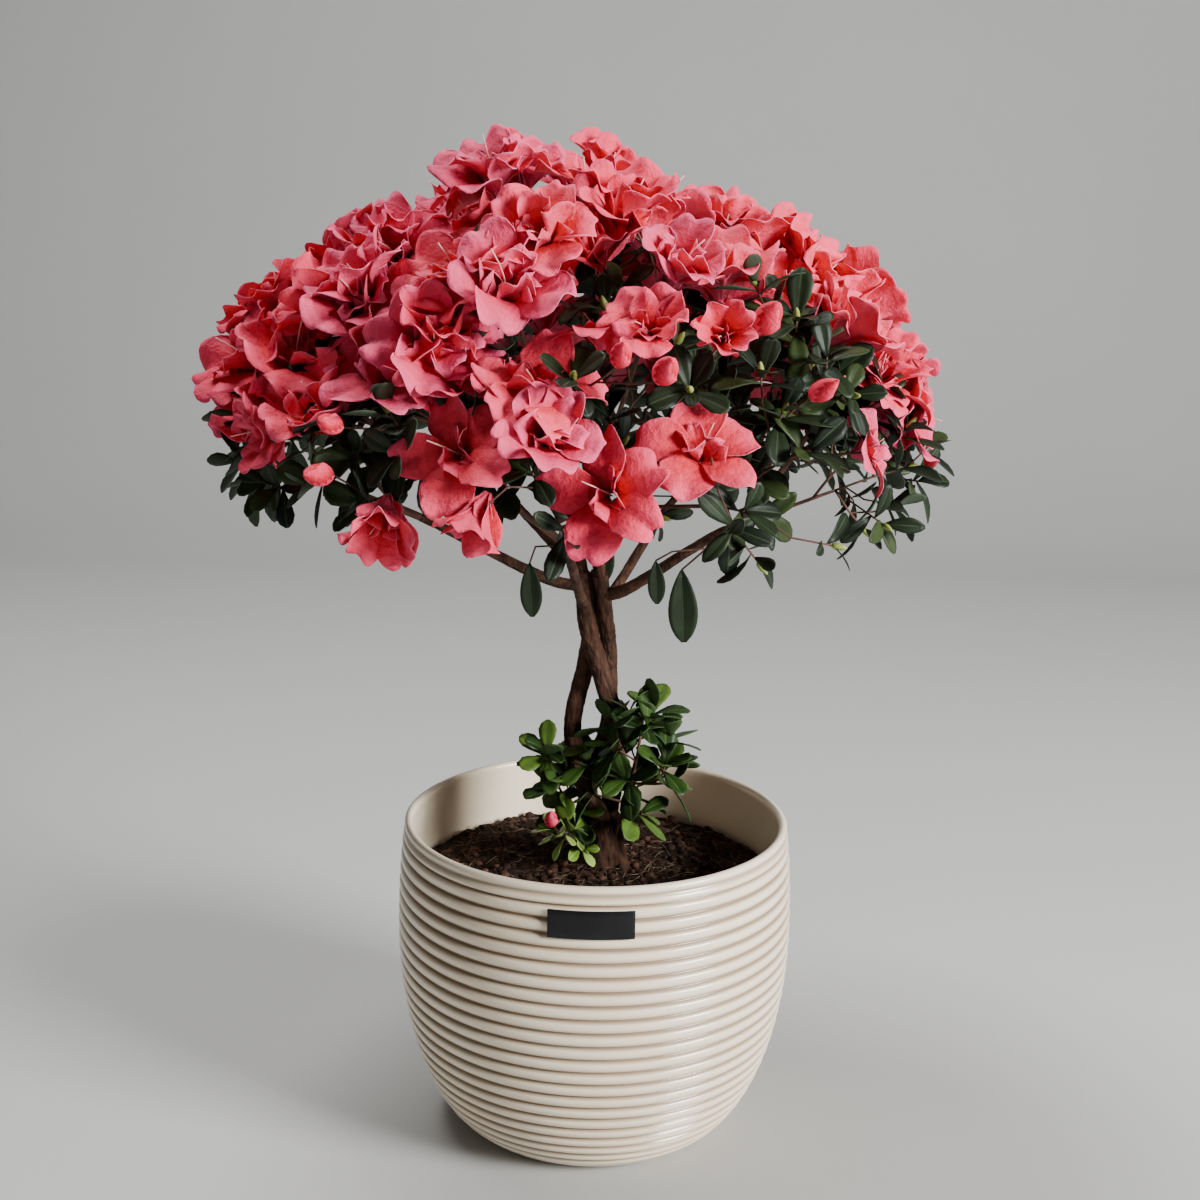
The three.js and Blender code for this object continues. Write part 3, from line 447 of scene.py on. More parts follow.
CALYX = Finish("calyx_green", (0.12, 0.2, 0.04), (0.2, 0.16, 0.05), patches=200, roughness=0.6)
STYLE = Finish("style_pink", (0.85, 0.42, 0.4), (0.7, 0.25, 0.25), patches=200, roughness=0.6)
PALETTES = (
    Palette(
        "coral", throat=(0.38, 0.004, 0.01), body=(0.77, 0.034, 0.074), outer=(0.9, 0.066, 0.148),
        edge=(0.94, 0.15, 0.27), back=(0.78, 0.06, 0.12),
    ),
    Palette(
        "salmon", throat=(0.46, 0.006, 0.011), body=(0.85, 0.044, 0.081), outer=(0.95, 0.084, 0.166),
        edge=(0.95, 0.18, 0.3), back=(0.84, 0.08, 0.145),
    ),
    Palette(
        "rose", throat=(0.32, 0.005, 0.015), body=(0.7, 0.039, 0.098), outer=(0.87, 0.094, 0.205),
        edge=(0.93, 0.21, 0.36), back=(0.73, 0.075, 0.16),
    ),
)


class LeafSlot(IntEnum):
    """The material slots of joined leaves, with one slot for each tone after the first blade's."""

    RIB = 0
    UNDERSIDE = 1
    BLADE = 2
    BUD = 6
    PETALS = 7


BLADE_TONES = LeafSlot.BUD - LeafSlot.BLADE


@dataclass(frozen=True)
class LeafTints:
    """Blade, rib and underside finishes of one kind of leaf, in a few tones."""

    name: str
    blades: tuple[Triple, ...]
    rib: Triple
    underside: Triple
    roughness: float
    coat: float
    drift: float = 0.6

    def finishes(self) -> list[Finish]:
        """One finish for the rib, one for the underside, and one for each tone of the blade."""
        stem = f"leaf_{self.name}"
        made = [
            Finish(f"{stem}_rib", self.rib, self.blades[0], patches=120, roughness=0.55, specular=0.25),
            Finish(
                f"{stem}_underside", self.underside, self.blades[0], patches=120, amount=0.4, roughness=0.65,
                specular=0.2,
            ),
        ]
        for tone, colour in enumerate(self.blades):
            made.append(Finish(
                f"{stem}_blade_{tone}", colour, dimmed(colour, self.drift), patches=110, amount=0.7,
                roughness=self.roughness, grain=650, relief=0.2, depth=0.0005, coat=self.coat, specular=0.18,
            ))
        return made


OLD_LEAVES = LeafTints(
    "old",
    ((0.01, 0.018, 0.007), (0.015, 0.026, 0.01), (0.007, 0.013, 0.006), (0.03, 0.048, 0.012)),
    (0.032, 0.05, 0.022), (0.034, 0.05, 0.028), roughness=0.5, coat=0.03,
)
YOUNG_LEAVES = LeafTints(
    "young",
    ((0.02, 0.05, 0.007), (0.034, 0.078, 0.01), (0.012, 0.031, 0.006), (0.075, 0.14, 0.018)),
    (0.055, 0.1, 0.022), (0.048, 0.082, 0.026), roughness=0.5, coat=0.04,
)
SPROUT_LEAVES = LeafTints(
    "sprout",
    ((0.14, 0.25, 0.03), (0.2, 0.34, 0.05), (0.08, 0.16, 0.02), (0.27, 0.4, 0.08)),
    (0.25, 0.36, 0.1), (0.2, 0.3, 0.1), roughness=0.46, coat=0.12,
)
BUD_GREEN = Finish("bud_green", (0.3, 0.36, 0.07), (0.16, 0.22, 0.04), patches=160, roughness=0.5, coat=0.1)


# Shapes as arrays, and the meshes that they are joined into


@dataclass
class Shape:
    """A closed shape kept as arrays, to be bent and copied into joined meshes."""

    corners: np.ndarray
    loops: np.ndarray
    sizes: np.ndarray
    slots: np.ndarray

    @classmethod
    def taken_from(cls, mesh: BMesh) -> "Shape":
        """Reads a shape from a bmesh and frees it.

        Args:
            mesh: the finished bmesh.

        Returns:
            The same shape as arrays.
        """
        mesh.verts.index_update()
        shape = cls(
            np.array([vert.co[:] for vert in mesh.verts]),
            np.array([vert.index for face in mesh.faces for vert in face.verts]),
            np.array([len(face.verts) for face in mesh.faces]),
            np.array([face.material_index for face in mesh.faces]),
        )
        mesh.free()
        return shape

    def moved(self, place: Matrix, slot_shift: int = 0) -> "Shape":
        """A copy in another place.

        Args:
            place: the matrix that takes it there.
            slot_shift: what is added to every face's material slot.

        Returns:
            The copy.
        """
        turn = np.array(place.to_3x3())
        corners = self.corners @ turn.T + np.array(place.translation)
        return replace(self, corners=corners, slots=self.slots + slot_shift)

    @staticmethod
    def joined(shapes: Sequence["Shape"]) -> "Shape":
        """One shape from many."""
        starts = np.cumsum([0] + [len(shape.corners) for shape in shapes[:-1]])
        return Shape(
            np.concatenate([shape.corners for shape in shapes]),
            np.concatenate([shape.loops + start for shape, start in zip(shapes, starts)]),
            np.concatenate([shape.sizes for shape in shapes]),
            np.concatenate([shape.slots for shape in shapes]),
        )


def linked(name: str, data: bpy.types.ID) -> Object:
    """A new object in the scene, at the origin and unturned."""
    made = bpy.data.objects.new(name, data)
    bpy.context.scene.collection.objects.link(made)
    return made


def smoothed(shell: BMesh, name: str) -> Mesh:
    """The smooth mesh of a finished bmesh, which is freed."""
    for face in shell.faces:
        face.smooth = True
    data = bpy.data.meshes.new(name)
    shell.to_mesh(data)
    shell.free()
    return data


def spun(section: Sequence[Span], segments: int, merge: float) -> BMesh:
    """Spins a section round the upright axis to a closed shell.

    Args:
        section: the radius and the height of each corner, from the axis back to the axis.
        segments: steps in a full turn.
        merge: corners nearer than this become one.

    Returns:
        The shell, with its faces outwards.
    """
    mesh = bmesh.new()
    verts = [mesh.verts.new((radius, 0, z)) for radius, z in section]
    edges = [mesh.edges.new(pair) for pair in zip(verts, verts[1:])]
    bmesh.ops.spin(
        mesh, geom=verts + edges, cent=(0, 0, 0), axis=(0, 0, 1), angle=tau, steps=segments,
        use_merge=True,
    )
    bmesh.ops.remove_doubles(mesh, verts=mesh.verts, dist=merge)
    bmesh.ops.recalc_face_normals(mesh, faces=mesh.faces)
    return mesh


@dataclass
class Piece:
    """A piece of the tree or pot: its mesh parts, its finishes and the nodes that it stands for."""

    name: str
    slot: str
    nodes: tuple[str, ...]
    finishes: Sequence[Finish]
    parts: list[Shape] = field(default_factory=list)

    def add(self, shape: Shape, place: Matrix, slot_shift: int = 0) -> None:
        """Adds a copy of a shape."""
        self.parts.append(shape.moved(place, slot_shift))

    def build(self) -> Object:
        """Returns:
            The new object.
        """
        whole = Shape.joined(self.parts)
        mesh = bpy.data.meshes.new(self.name)
        mesh.vertices.add(len(whole.corners))
        mesh.vertices.foreach_set("co", whole.corners.ravel())
        mesh.loops.add(len(whole.loops))
        mesh.loops.foreach_set("vertex_index", whole.loops)
        mesh.polygons.add(len(whole.sizes))
        mesh.polygons.foreach_set("loop_start", np.concatenate(([0], np.cumsum(whole.sizes)[:-1])))
        mesh.polygons.foreach_set("material_index", whole.slots)
        mesh.polygons.foreach_set("use_smooth", np.ones(len(whole.sizes), dtype=bool))
        mesh.update(calc_edges=True)
        return self.declare(mesh)

    def declare(self, mesh: Mesh) -> Object:
        """Makes the object of a finished mesh, with its finishes, hangs it on the root body and hides the
        frame's parts that it stands for.

        Args:
            mesh: the finished mesh in metres.

        Returns:
            The new object.
        """
        made = linked(self.name, mesh)
        for finish in self.finishes:
            mesh.materials.append(finish.material())
        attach(made, "root")
        if self.nodes:
            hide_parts(*self.nodes)
        mesh.calc_loop_triangles()
        LOG.info("%s: %d triangles", self.name, len(mesh.loop_triangles))
        return made


def set_painted_shade_and_tone(made: Object, painted_shades_and_tones: Sequence[float]) -> None:
    """Stores how far the surface darkens at each corner, from 0 to 1, for the object's finish to read:
    painted shade in grooves and furrows, random tone on the peat.
    """
    layer = made.data.attributes.new("painted_shade_and_tone", "FLOAT", "POINT")
    layer.data.foreach_set("value", np.clip(np.array(painted_shades_and_tones, dtype=float), 0, 1))


def thin_sheet(
    columns: int,
    rows: int,
    thickness: float,
    bend: Callable[[float, float], Vector],
    slot_at: Callable[[float, float], int],
    edge_slot: int,
    back_slot: int,
) -> Shape:
    """A bent sheet with a thickness, such as a petal or a leaf.

    Args:
        columns: faces across.
        rows: faces along.
        thickness: in the sheet's own units.
        bend: gives a corner's place from across, -1 to 1, and along, 0 to 1.
        slot_at: gives a face's material slot from the same two.
        edge_slot: the slot of the edge all round.
        back_slot: the slot of the back.

    Returns:
        The closed sheet.
    """
    mesh = bmesh.new()
    bmesh.ops.create_grid(mesh, x_segments=columns, y_segments=rows, size=1)
    for face in mesh.faces:
        middle = face.calc_center_median()
        face.material_index = slot_at(middle.x, (middle.y + 1) / 2)
    for vert in mesh.verts:
        vert.co = bend(vert.co.x, (vert.co.y + 1) / 2)
    swept = bmesh.ops.extrude_face_region(mesh, geom=mesh.faces[:], use_keep_orig=True)
    lifted = {item for item in swept["geom"] if isinstance(item, BMVert)}
    mesh.normal_update()
    for vert in lifted:
        vert.co += vert.normal * thickness
    for face in mesh.faces:
        raised = sum(vert in lifted for vert in face.verts)
        if raised < len(face.verts):
            face.material_index = edge_slot if raised else back_slot
    bmesh.ops.recalc_face_normals(mesh, faces=mesh.faces)
    return Shape.taken_from(mesh)


@dataclass
class Rod:
    """A straight rod of unit radius and length, cut into rings, that is bent along paths."""

    sides: int
    steps: int
    shape: Shape = field(init=False)

    def __post_init__(self) -> None:
        """Makes the rod once."""
        mesh = bmesh.new()
        bmesh.ops.create_cone(mesh, cap_ends=True, segments=self.sides, radius1=1, radius2=1, depth=1)
        if self.steps > 1:
            upright = [edge for edge in mesh.edges if abs(edge.verts[0].co.z - edge.verts[1].co.z) > 0.5]
            bmesh.ops.subdivide_edges(mesh, edges=upright, cuts=self.steps - 1, use_grid_fill=True)
        bmesh.ops.translate(mesh, verts=mesh.verts, vec=(0, 0, 0.5))
        self.shape = Shape.taken_from(mesh)

    def bent(self, path: Sequence[Vector], radius_at: Callable[[float, float], float]) -> Shape:
        """The rod bent along a path with one point for each of its rings.

        Args:
            path: the points of the middle line, in millimetres.
            radius_at: gives the radius from the part along, 0 to 1, and the turn in radians.

        Returns:
            The bent rod, in metres.
        """
        sides, acrosses = ring_axes(path)
        corners = np.empty_like(self.shape.corners)
        for index, (x, y, z) in enumerate(self.shape.corners):
            ring = round(z * self.steps)
            radius = radius_at(z, atan2(y, x))
            point = path[ring] + (sides[ring] * x + acrosses[ring] * y) * radius
            corners[index] = point * MM
        return replace(self.shape, corners=corners)


def ring_axes(path: Sequence[Vector]) -> tuple[list[Vector], list[Vector]]:
    """Two axes square to a path at each point, turned as little as can be from one to the next.

    Args:
        path: the points of the path.

    Returns:
        The side axes and the across axes.
    """
    sides: list[Vector] = []
    acrosses: list[Vector] = []
    side = None
    for index in range(len(path)):
        along = (path[min(index + 1, len(path) - 1)] - path[max(index - 1, 0)]).normalized()
        side = square_to(along) if side is None else (side - along * side.dot(along)).normalized()
        sides.append(side)
        acrosses.append(along.cross(side))
    return sides, acrosses


def bezier(points: Sequence[Vector], steps: int) -> list[Vector]:
    """Even steps along a cubic curve with four control points."""
    first, second, third, last = points
    row = []
    for step in range(steps + 1):
        t = step / steps
        left = 1 - t
        row.append(
            first * left**3 + second * (3 * left * left * t) + third * (3 * left * t * t) + last * t**3
        )
    return row


# The pot, its plate and the peat


@dataclass
class Pot:
    """The ribbed pot: a round belly, narrow grooves between rounded ribs, and a rounded lip."""

    height: float = 190
    foot_radius: float = 65
    belly_radius: float = 117.5
    belly_height: float = 123.5
    rim_radius: float = 113.6
    wall: float = 7
    floor: float = 9
    floor_radius: float = 60
    recess: float = 2
    recess_slope: float = 3
    foot_ring: float = 9
    foot_edge: float = 1
    foot_parts: tuple[float, ...] = (0.06, 0.2, 0.45, 0.75)
    rib_pitch: float = 8.25
    rib_depth: float = 1.7
    rib_skew: float = 0.62
    groove_width: float = 1.15
    crown: float = 1.1
    first_groove: float = 10.5
    lowest_groove: float = 9
    lip_radius: float = 2.5
    lip_blend: float = 34
    inner_heights: tuple[float, ...] = (184, 178, 170, 160, 150, 138, 110, 80, 50, 28, 16, 10)
    neck: tuple[Span, ...] = (
        (0.5, 1.1), (1.2, 0.6), (2.2, 0.2), (3.3, 0.4), (4.3, 1.1), (5.2, 1.6), (6.0, 1.5), (6.6, 0.8),
    )
    # painted shade in the grooves: the depth where it starts, and its greatest strength
    groove_painted_shade_from: float = 0.15
    groove_painted_shade: float = 0.85
    segments: int = 144
    samples: int = 1200
    rib_places: tuple[float, ...] = (0, 0.05, 0.11, 0.2, 0.36, 0.5, 0.64, 0.8, 0.89, 0.95)

    def radius(self, z: float) -> float:
        """The outer radius at the crest of the ribs."""
        if z < self.belly_height:
            drop = 1 - z / self.belly_height
            bulge = sqrt(max(0, 1 - drop * drop))
            return self.foot_radius + (self.belly_radius - self.foot_radius) * bulge
        rise = (z - self.belly_height) / (self.height - self.belly_height)
        return self.belly_radius - (self.belly_radius - self.rim_radius) * rise * rise

    def ribbed_wall(self) -> list[Span]:
        """The outer wall from the top groove down to the foot, as radius and height."""
        top = self.height - self.first_groove
        heights = [top * (1 - part) ** 2 for part in np.linspace(0, 1, self.samples)]
        radii = [self.radius(z) for z in heights]
        walked = np.concatenate(([0], np.cumsum(np.hypot(np.diff(radii), np.diff(heights)))))
        places = []
        rib = 0
        while True:
            for part in self.rib_places:
                length = (rib + part) * self.rib_pitch
                z = float(np.interp(length, walked, heights))
                if z < self.lowest_groove:
                    return places
                gap = min(part, 1 - part) * self.rib_pitch
                dip = self.rib_depth * bell(gap, self.groove_width)
                dip += self.crown * (1 - sin(pi * part**self.rib_skew))
                slope = Vector((self.radius(z + 0.5) - self.radius(z - 0.5), 1)).normalized()
                places.append((self.radius(z) - dip * slope.y, z + dip * slope.x))
            rib += 1

    def profile(self) -> list[Span]:
        """The whole section from the middle of the underside to the middle of the inner floor."""
        lip = self.lip_radius
        centre = self.rim_radius - lip
        ring = self.foot_radius - self.foot_ring
        foot = [
            (0, self.recess), (ring - self.recess_slope, self.recess), (ring, 0),
            (self.foot_radius - self.foot_edge, 0),
        ]
        heel = self.lowest_groove
        foot += [(self.radius(heel * part), heel * part) for part in self.foot_parts]
        band = self.height - self.first_groove
        neck = [(self.radius(band + up) - dip, band + up) for up, dip in self.neck]
        turns = [radians(turn) for turn in range(10, 171, 20)]
        rounded = [(centre + lip * cos(turn), self.height - lip + lip * sin(turn)) for turn in turns]
        inner = [
            (self.radius(z) - mix(2 * lip, self.wall, smooth((self.height - z) / self.lip_blend)), z)
            for z in self.inner_heights
        ]
        floor = [(self.floor_radius, self.floor), (0, self.floor)]
        return foot + self.ribbed_wall()[::-1] + neck + rounded + inner + floor

    def build(self) -> Object:
        """Spins the section and paints shade into its grooves.

        Returns:
            The pot.
        """
        mesh = spun([(radius * MM, z * MM) for radius, z in self.profile()], self.segments, MERGE * MM)
        painted_shades_and_tones = [self.painted_shade_at(vert.co / MM) for vert in mesh.verts]
        made = Piece("glazed_pot", "glaze", ("pot",), [GLAZE]).declare(smoothed(mesh, "pot"))
        set_painted_shade_and_tone(made, painted_shades_and_tones)
        return made

    def painted_shade_at(self, point: Vector) -> float:
        """How much painted shade a point of the outer wall gets, from 0 to 1, more the deeper it lies in a
        groove.
        """
        depth = self.radius(point.z) - hypot(point.x, point.y)
        on_wall = depth < self.wall / 2 and 1 < point.z < self.height - self.lip_radius
        if not on_wall or depth <= self.groove_painted_shade_from:
            return 0
        return min((depth - self.groove_painted_shade_from) / self.rib_depth, 1) * self.groove_painted_shade


@dataclass
class FrontPlate:
    """The blank black plate on the front of the pot."""

    pot: Pot
    left: float = -25
    right: float = 22
    bottom: float = 162.3
    top: float = 178
    lift: float = 0.35
    thickness: float = 0.7
    soft_edge: float = 0.25
    columns: int = 24
    rows: int = 4

    def place_at(self, across: float, up: float) -> Vector:
        """A point of the plate's back, wrapped on the pot's wall, in metres."""
        z = mix(self.bottom, self.top, up)
        x = mix(self.left, self.right, (across + 1) / 2)
        radius = self.pot.radius(z) + self.lift + self.thickness
        return Vector((x, -sqrt(radius * radius - x * x), z)) * MM

    def build(self) -> Object:
        """Wraps a thin sheet round the pot and softens its edges.

        Returns:
            The plate.
        """
        shape = thin_sheet(
            self.columns, self.rows, self.thickness * MM, self.place_at, lambda across, along: 0, 0, 0
        )
        made = Piece("blank_plate", "plate", ("front_plate",), [PLATE_BLACK], [shape]).build()
        bevel = made.modifiers.new("soft_edge", "BEVEL")
        bevel.width = self.soft_edge * MM
        bevel.segments = 2
        bevel.limit_method = "ANGLE"
        return made


@dataclass
class Peat:
    """The peat in the pot: a rough mound, crumbs lying on it and pale fibres among them."""

    pot: Pot
    edge: float = 150
    mound: float = 160
    mound_radius: float = 25
    gap: float = 0.4
    bed_radius: float = 50
    wall_heights: tuple[float, ...] = (16, 30, 50, 80, 115)
    collar: float = 3
    collar_radius: float = 21
    flat_radius: float = 16
    flat_fade: float = 14
    lump_pitch: float = 0.09
    lump_height: float = 2
    grit_pitch: float = 0.4
    grit_height: float = 1.1
    rings: int = 70
    segments: int = 190
    trunk_room: float = 17
    wall_room: float = 5
    crumbs: int = 2000
    crumb_kinds: int = 6
    crumb_smallest: float = 0.6
    crumb_growth: float = 2.4
    fibres: int = 420
    fibre_radius: float = 0.22
    fibre_length: Span = (3, 9)
    fibre_bend: float = 4
    fibre_lift: Span = (0.1, 1.2)
    fibre_ring: Span = (17, 36)
    fibre_room: float = 3
    seed: int = 88

    def inner_radius(self, z: float) -> float:
        """The radius of the pot's inner wall at a height."""
        return self.pot.radius(z) - self.pot.wall

    def height_at(self, x: float, y: float) -> float:
        """The height of the rough surface."""
        out = hypot(x, y)
        shore = self.inner_radius(self.edge) - self.gap
        part = min(max((shore - out) / (shore - self.mound_radius), 0), 1)
        place = Vector((x, y, 0))
        lumps = noise.fractal(place * self.lump_pitch, 0.8, 2.1, 4) * self.lump_height
        lumps += noise.noise(place * self.grit_pitch) * self.grit_height
        beside_trunk = smooth((out - self.flat_radius) / self.flat_fade)
        collar = self.collar * exp(-((out / self.collar_radius) ** 4))
        return mix(self.edge, self.mound, sqrt(part)) + lumps * beside_trunk + collar

    def build(self) -> list[Object]:
        """Makes the mound, the crumbs and the fibres."""
        return [self.build_mound(), self.build_crumbs(), self.build_fibres()]

    def build_mound(self) -> Object:
        """Spins the mound's section and roughens its top.

        Returns:
            The mound.
        """
        shore = self.inner_radius(self.edge) - self.gap
        floor = self.pot.floor + self.gap
        section = [(0, floor), (self.bed_radius, floor)]
        section += [(self.inner_radius(z) - self.gap, z) for z in self.wall_heights]
        section += [(shore * (1 - step / self.rings), self.edge) for step in range(self.rings + 1)]
        mesh = spun(section, self.segments, MERGE)
        painted_shades_and_tones = []
        for vert in mesh.verts:
            if vert.co.z > self.edge - 1:
                vert.co.z = self.height_at(vert.co.x, vert.co.y)
            painted_shades_and_tones.append(0.5 - noise.noise(vert.co * 0.35) * 1.6)
        bmesh.ops.scale(mesh, vec=(MM, MM, MM), verts=mesh.verts)
        made = Piece("peat_mound", "peat", ("soil",), [PEAT]).declare(smoothed(mesh, "mound"))
        set_painted_shade_and_tone(made, painted_shades_and_tones)
        return made

    def scattered(self, draw: Draw, lift: float) -> Vector:
        """A point on the surface, evenly spread, clear of the trunk."""
        farthest = self.inner_radius(self.edge) - self.wall_room
        out = sqrt(draw.between(self.trunk_room**2, farthest**2))
        place = compass(draw.between(0, 360)) * out
        place.z = self.height_at(place.x, place.y) + lift
        return place

    def build_crumbs(self) -> Object:
        """Scatters lumps of peat in a few rough shapes.

        Returns:
            The crumbs.
        """
        draw = Draw(self.seed)
        lumps = []
        for kind in range(self.crumb_kinds):
            mesh = bmesh.new()
            bmesh.ops.create_icosphere(mesh, subdivisions=1, radius=1)
            for vert in mesh.verts:
                rough = 1 + 0.5 * noise.noise(vert.co * 1.7 + Vector((kind * 9.1, 0, 0)))
                vert.co = Vector((vert.co.x * 1.25, vert.co.y, vert.co.z * 0.75)) * rough
            lumps.append(Shape.taken_from(mesh))
        piece = Piece("peat_crumbs", "peat", ("soil",), [PEAT, CRUMB])
        for index in range(self.crumbs):
            size = self.crumb_smallest + self.crumb_growth * draw.number() ** 3
            facing = (UP + compass(draw.between(0, 360)) * draw.between(0, 0.8)).normalized()
            place = placed(self.scattered(draw, size * 0.25), compass(draw.between(0, 360)), facing, size)
            piece.add(lumps[index % len(lumps)], place, slot_shift=index % 2)
        return piece.build()

    def build_fibres(self) -> Object:
        """Lays thin bent fibres over the surface.

        Returns:
            The fibres.
        """
        draw = Draw(self.seed + 1)
        rod = Rod(3, 3)
        piece = Piece("peat_fibres", "peat", ("soil",), [FIBRE, CRUMB])
        for index in range(self.fibres):
            start = self.scattered(draw, 0.5)
            if index % 3 == 0:
                start = compass(draw.between(0, 360)) * draw.between(*self.fibre_ring)
            along = compass(draw.between(0, 360)) * draw.between(*self.fibre_length)
            bend = compass(draw.between(0, 360)) * draw.between(0, self.fibre_bend)
            path = [start + along * step + bend * (step * step / 9) for step in range(4)]
            reach = self.inner_radius(self.edge) - self.fibre_room
            if any(hypot(point.x, point.y) > reach for point in path):
                continue
            for point in path:
                point.z = self.height_at(point.x, point.y) + draw.between(*self.fibre_lift)
            shape = rod.bent(path, lambda part, turn: self.fibre_radius * (1 - 0.5 * part))
            piece.add(shape, Matrix.Identity(4), slot_shift=int(index % 3 == 0))
        return piece.build()


# The trunk and the boughs


@dataclass(frozen=True)
class Foot:
    """The flared foot of the trunk, with low root lobes."""

    x: float = 3
    top: float = 190
    bottom: float = 160
    flare: float = 18
    waist: float = 11.6
    lobes: int = 5
    lobe_depth: float = 0.16
    lobe_turn: float = 40

    def radius(self, azimuth: float, z: float) -> float:
        """The radius at an azimuth in degrees and a height."""
        spread = ((self.top - z) / (self.top - self.bottom)) ** 2
        lobe = 1 + self.lobe_depth * spread * cos(radians(self.lobes * azimuth + self.lobe_turn))
        return mix(self.waist, self.flare, spread) * lobe

    def side(self, azimuth: float, z: float) -> Vector:
        """A point on the foot's side."""
        return compass(azimuth) * self.radius(azimuth, z) + Vector((self.x, 0, z))


@dataclass(frozen=True)
class Stem:
    """One of the stems that are loosely twisted together, by its azimuth and spread at each height."""

    name: str
    azimuths: tuple[float, ...]
    spreads: tuple[float, ...]
    radius: float
    heights: tuple[float, ...] = (190.6, 212, 243, 282, 305, 337)
    axis_x: tuple[float, ...] = (2.5, 1, -0.5, -1.5, -2.4, -3.5)

    def knots(self) -> list[Vector]:
        """The points that the stem's middle line runs through."""
        rows = zip(self.azimuths, self.spreads, self.heights, self.axis_x)
        return [compass(azimuth) * spread + Vector((x, 0, z)) for azimuth, spread, z, x in rows]

    def point(self, part: float) -> Vector:
        """A point on the smooth curve through the knots, with centripetal spacing."""
        knots = self.knots()
        last = len(knots) - 1
        index = min(int(part * last), last - 1)
        weight = part * last - index
        first, second = knots[index], knots[index + 1]
        before = knots[index - 1] if index > 0 else first * 2 - second
        after = knots[index + 2] if index + 2 <= last else second * 2 - first
        gaps = [sqrt((b - a).length) for a, b in ((before, first), (first, second), (second, after))]
        leaving = ((first - before) / gaps[0] - (second - before) / (gaps[0] + gaps[1])
                   + (second - first) / gaps[1]) * gaps[1]
        arriving = ((second - first) / gaps[1] - (after - first) / (gaps[1] + gaps[2])
                    + (after - second) / gaps[2]) * gaps[1]
        square, cube = weight * weight, weight**3
        return (
            first * (2 * cube - 3 * square + 1) + leaving * (cube - 2 * square + weight)
            + second * (3 * square - 2 * cube) + arriving * (cube - square)
        )

    def heading(self, part: float) -> Vector:
        """The way that the stem runs at a part of its length."""
        step = 1e-4
        return (self.point(min(part + step, 1)) - self.point(max(part - step, 0))).normalized()

    def part_at(self, height: float) -> float:
        """Where along the stem it reaches a height, by halving."""
        low, high = 0.0, 1.0
        for _ in range(20):
            middle = (low + high) / 2
            if self.point(middle).z < height:
                low = middle
            else:
                high = middle
        return low


STEMS = {
    stem.name: stem
    for stem in (
        Stem("left", (400, 385, 345, 288, 235, 182), (6.4, 11, 11.5, 7.2, 7, 6.9), 5.2),
        Stem("right", (520, 480, 415, 372, 335, 300), (6.2, 10.5, 11, 8.2, 7.4, 6.9), 4.3),
        Stem("rear", (280, 235, 182, 138, 108, 66), (6.4, 14.5, 14.5, 8.2, 7.2, 6.9), 4.9),
    )
}


@dataclass(frozen=True)
class Hump:
    """A place where the dome swells by a fraction of its radius."""

    azimuth: float
    elevation: float
    lift: float
    spread: float

    @property
    def middle(self) -> Vector:
        """The way to its middle from the heart of the dome."""
        lean = radians(self.elevation)
        return compass(self.azimuth) * cos(lean) + UP * sin(lean)


@dataclass(frozen=True)
class Dome:
    """The broad humped dome that the head of the tree fills."""

    x: float = -12
    y: float = 0
    z: float = 400
    across: float = 197
    deep: float = 184
    rise: float = 146
    drop: float = 60
    fullness: float = 2.35
    slope_tilt: float = 54
    slope_apex: float = 360
    humps: tuple[Hump, ...] = (
        Hump(0, 90, 0.26, 0.07), Hump(199, 27, 0.1, 0.03),
        Hump(248, 61, 0.08, 0.05), Hump(352, 42, 0.04, 0.02),
    )

    def swell(self, ray: Vector) -> float:
        """How far the dome swells along a ray from its heart, given in parts of its own radii."""
        along = ray.normalized()
        return 1 + sum(hump.lift * exp((along.dot(hump.middle) - 1) / hump.spread) for hump in self.humps)

    def depth(self, point: Vector) -> float:
        """The part of the way from the heart of the dome to its surface."""
        ray = Vector((
            (point.x - self.x) / self.across,
            (point.y - self.y) / self.deep,
            (point.z - self.z) / (self.rise if point.z > self.z else self.drop),
        ))
        across = hypot(ray.x, ray.y)
        power = self.fullness
        return (across**power + abs(ray.z) ** power) ** (1 / power) / self.swell(ray)

    def point(self, azimuth: float, elevation: float, depth: float = 1) -> Vector:
        """A point of the dome at an azimuth, an elevation and a depth."""
        power = 2 / self.fullness
        lean = radians(elevation)
        ray = compass(azimuth) * cos(lean) ** power
        ray += UP * copysign(abs(sin(lean)) ** power, elevation)
        ray *= depth * self.swell(ray)
        rise = self.rise if elevation > 0 else self.drop
        return Vector((self.x + ray.x * self.across, self.y + ray.y * self.deep, self.z + ray.z * rise))

    def normal(self, point: Vector) -> Vector:
        """The way that the dome faces at a point."""
        drop = self.rise if point.z > self.z else self.across
        return Vector((
            (point.x - self.x) / self.across**2,
            (point.y - self.y) / self.deep**2,
            (point.z - self.z) / drop**2,
        )).normalized()

    def on_axis(self, azimuth: float, out: float, height: float) -> Vector:
        """A point at a distance from the dome's upright axis."""
        return compass(azimuth) * out + Vector((self.x, self.y, height))


DOME = Dome()


@dataclass(frozen=True)
class Reach:
    """How far a bough runs before its mass takes over, where the mass has its heart, and how wide it is."""

    tip_out: float
    tip_height: float
    heart_out: float
    heart_height: float
    half_angle: float


OUTER_REACH = Reach(92, 372, 148, 397, half_angle=36)
TOP_REACH = Reach(22, 426, 46, 496, half_angle=60)


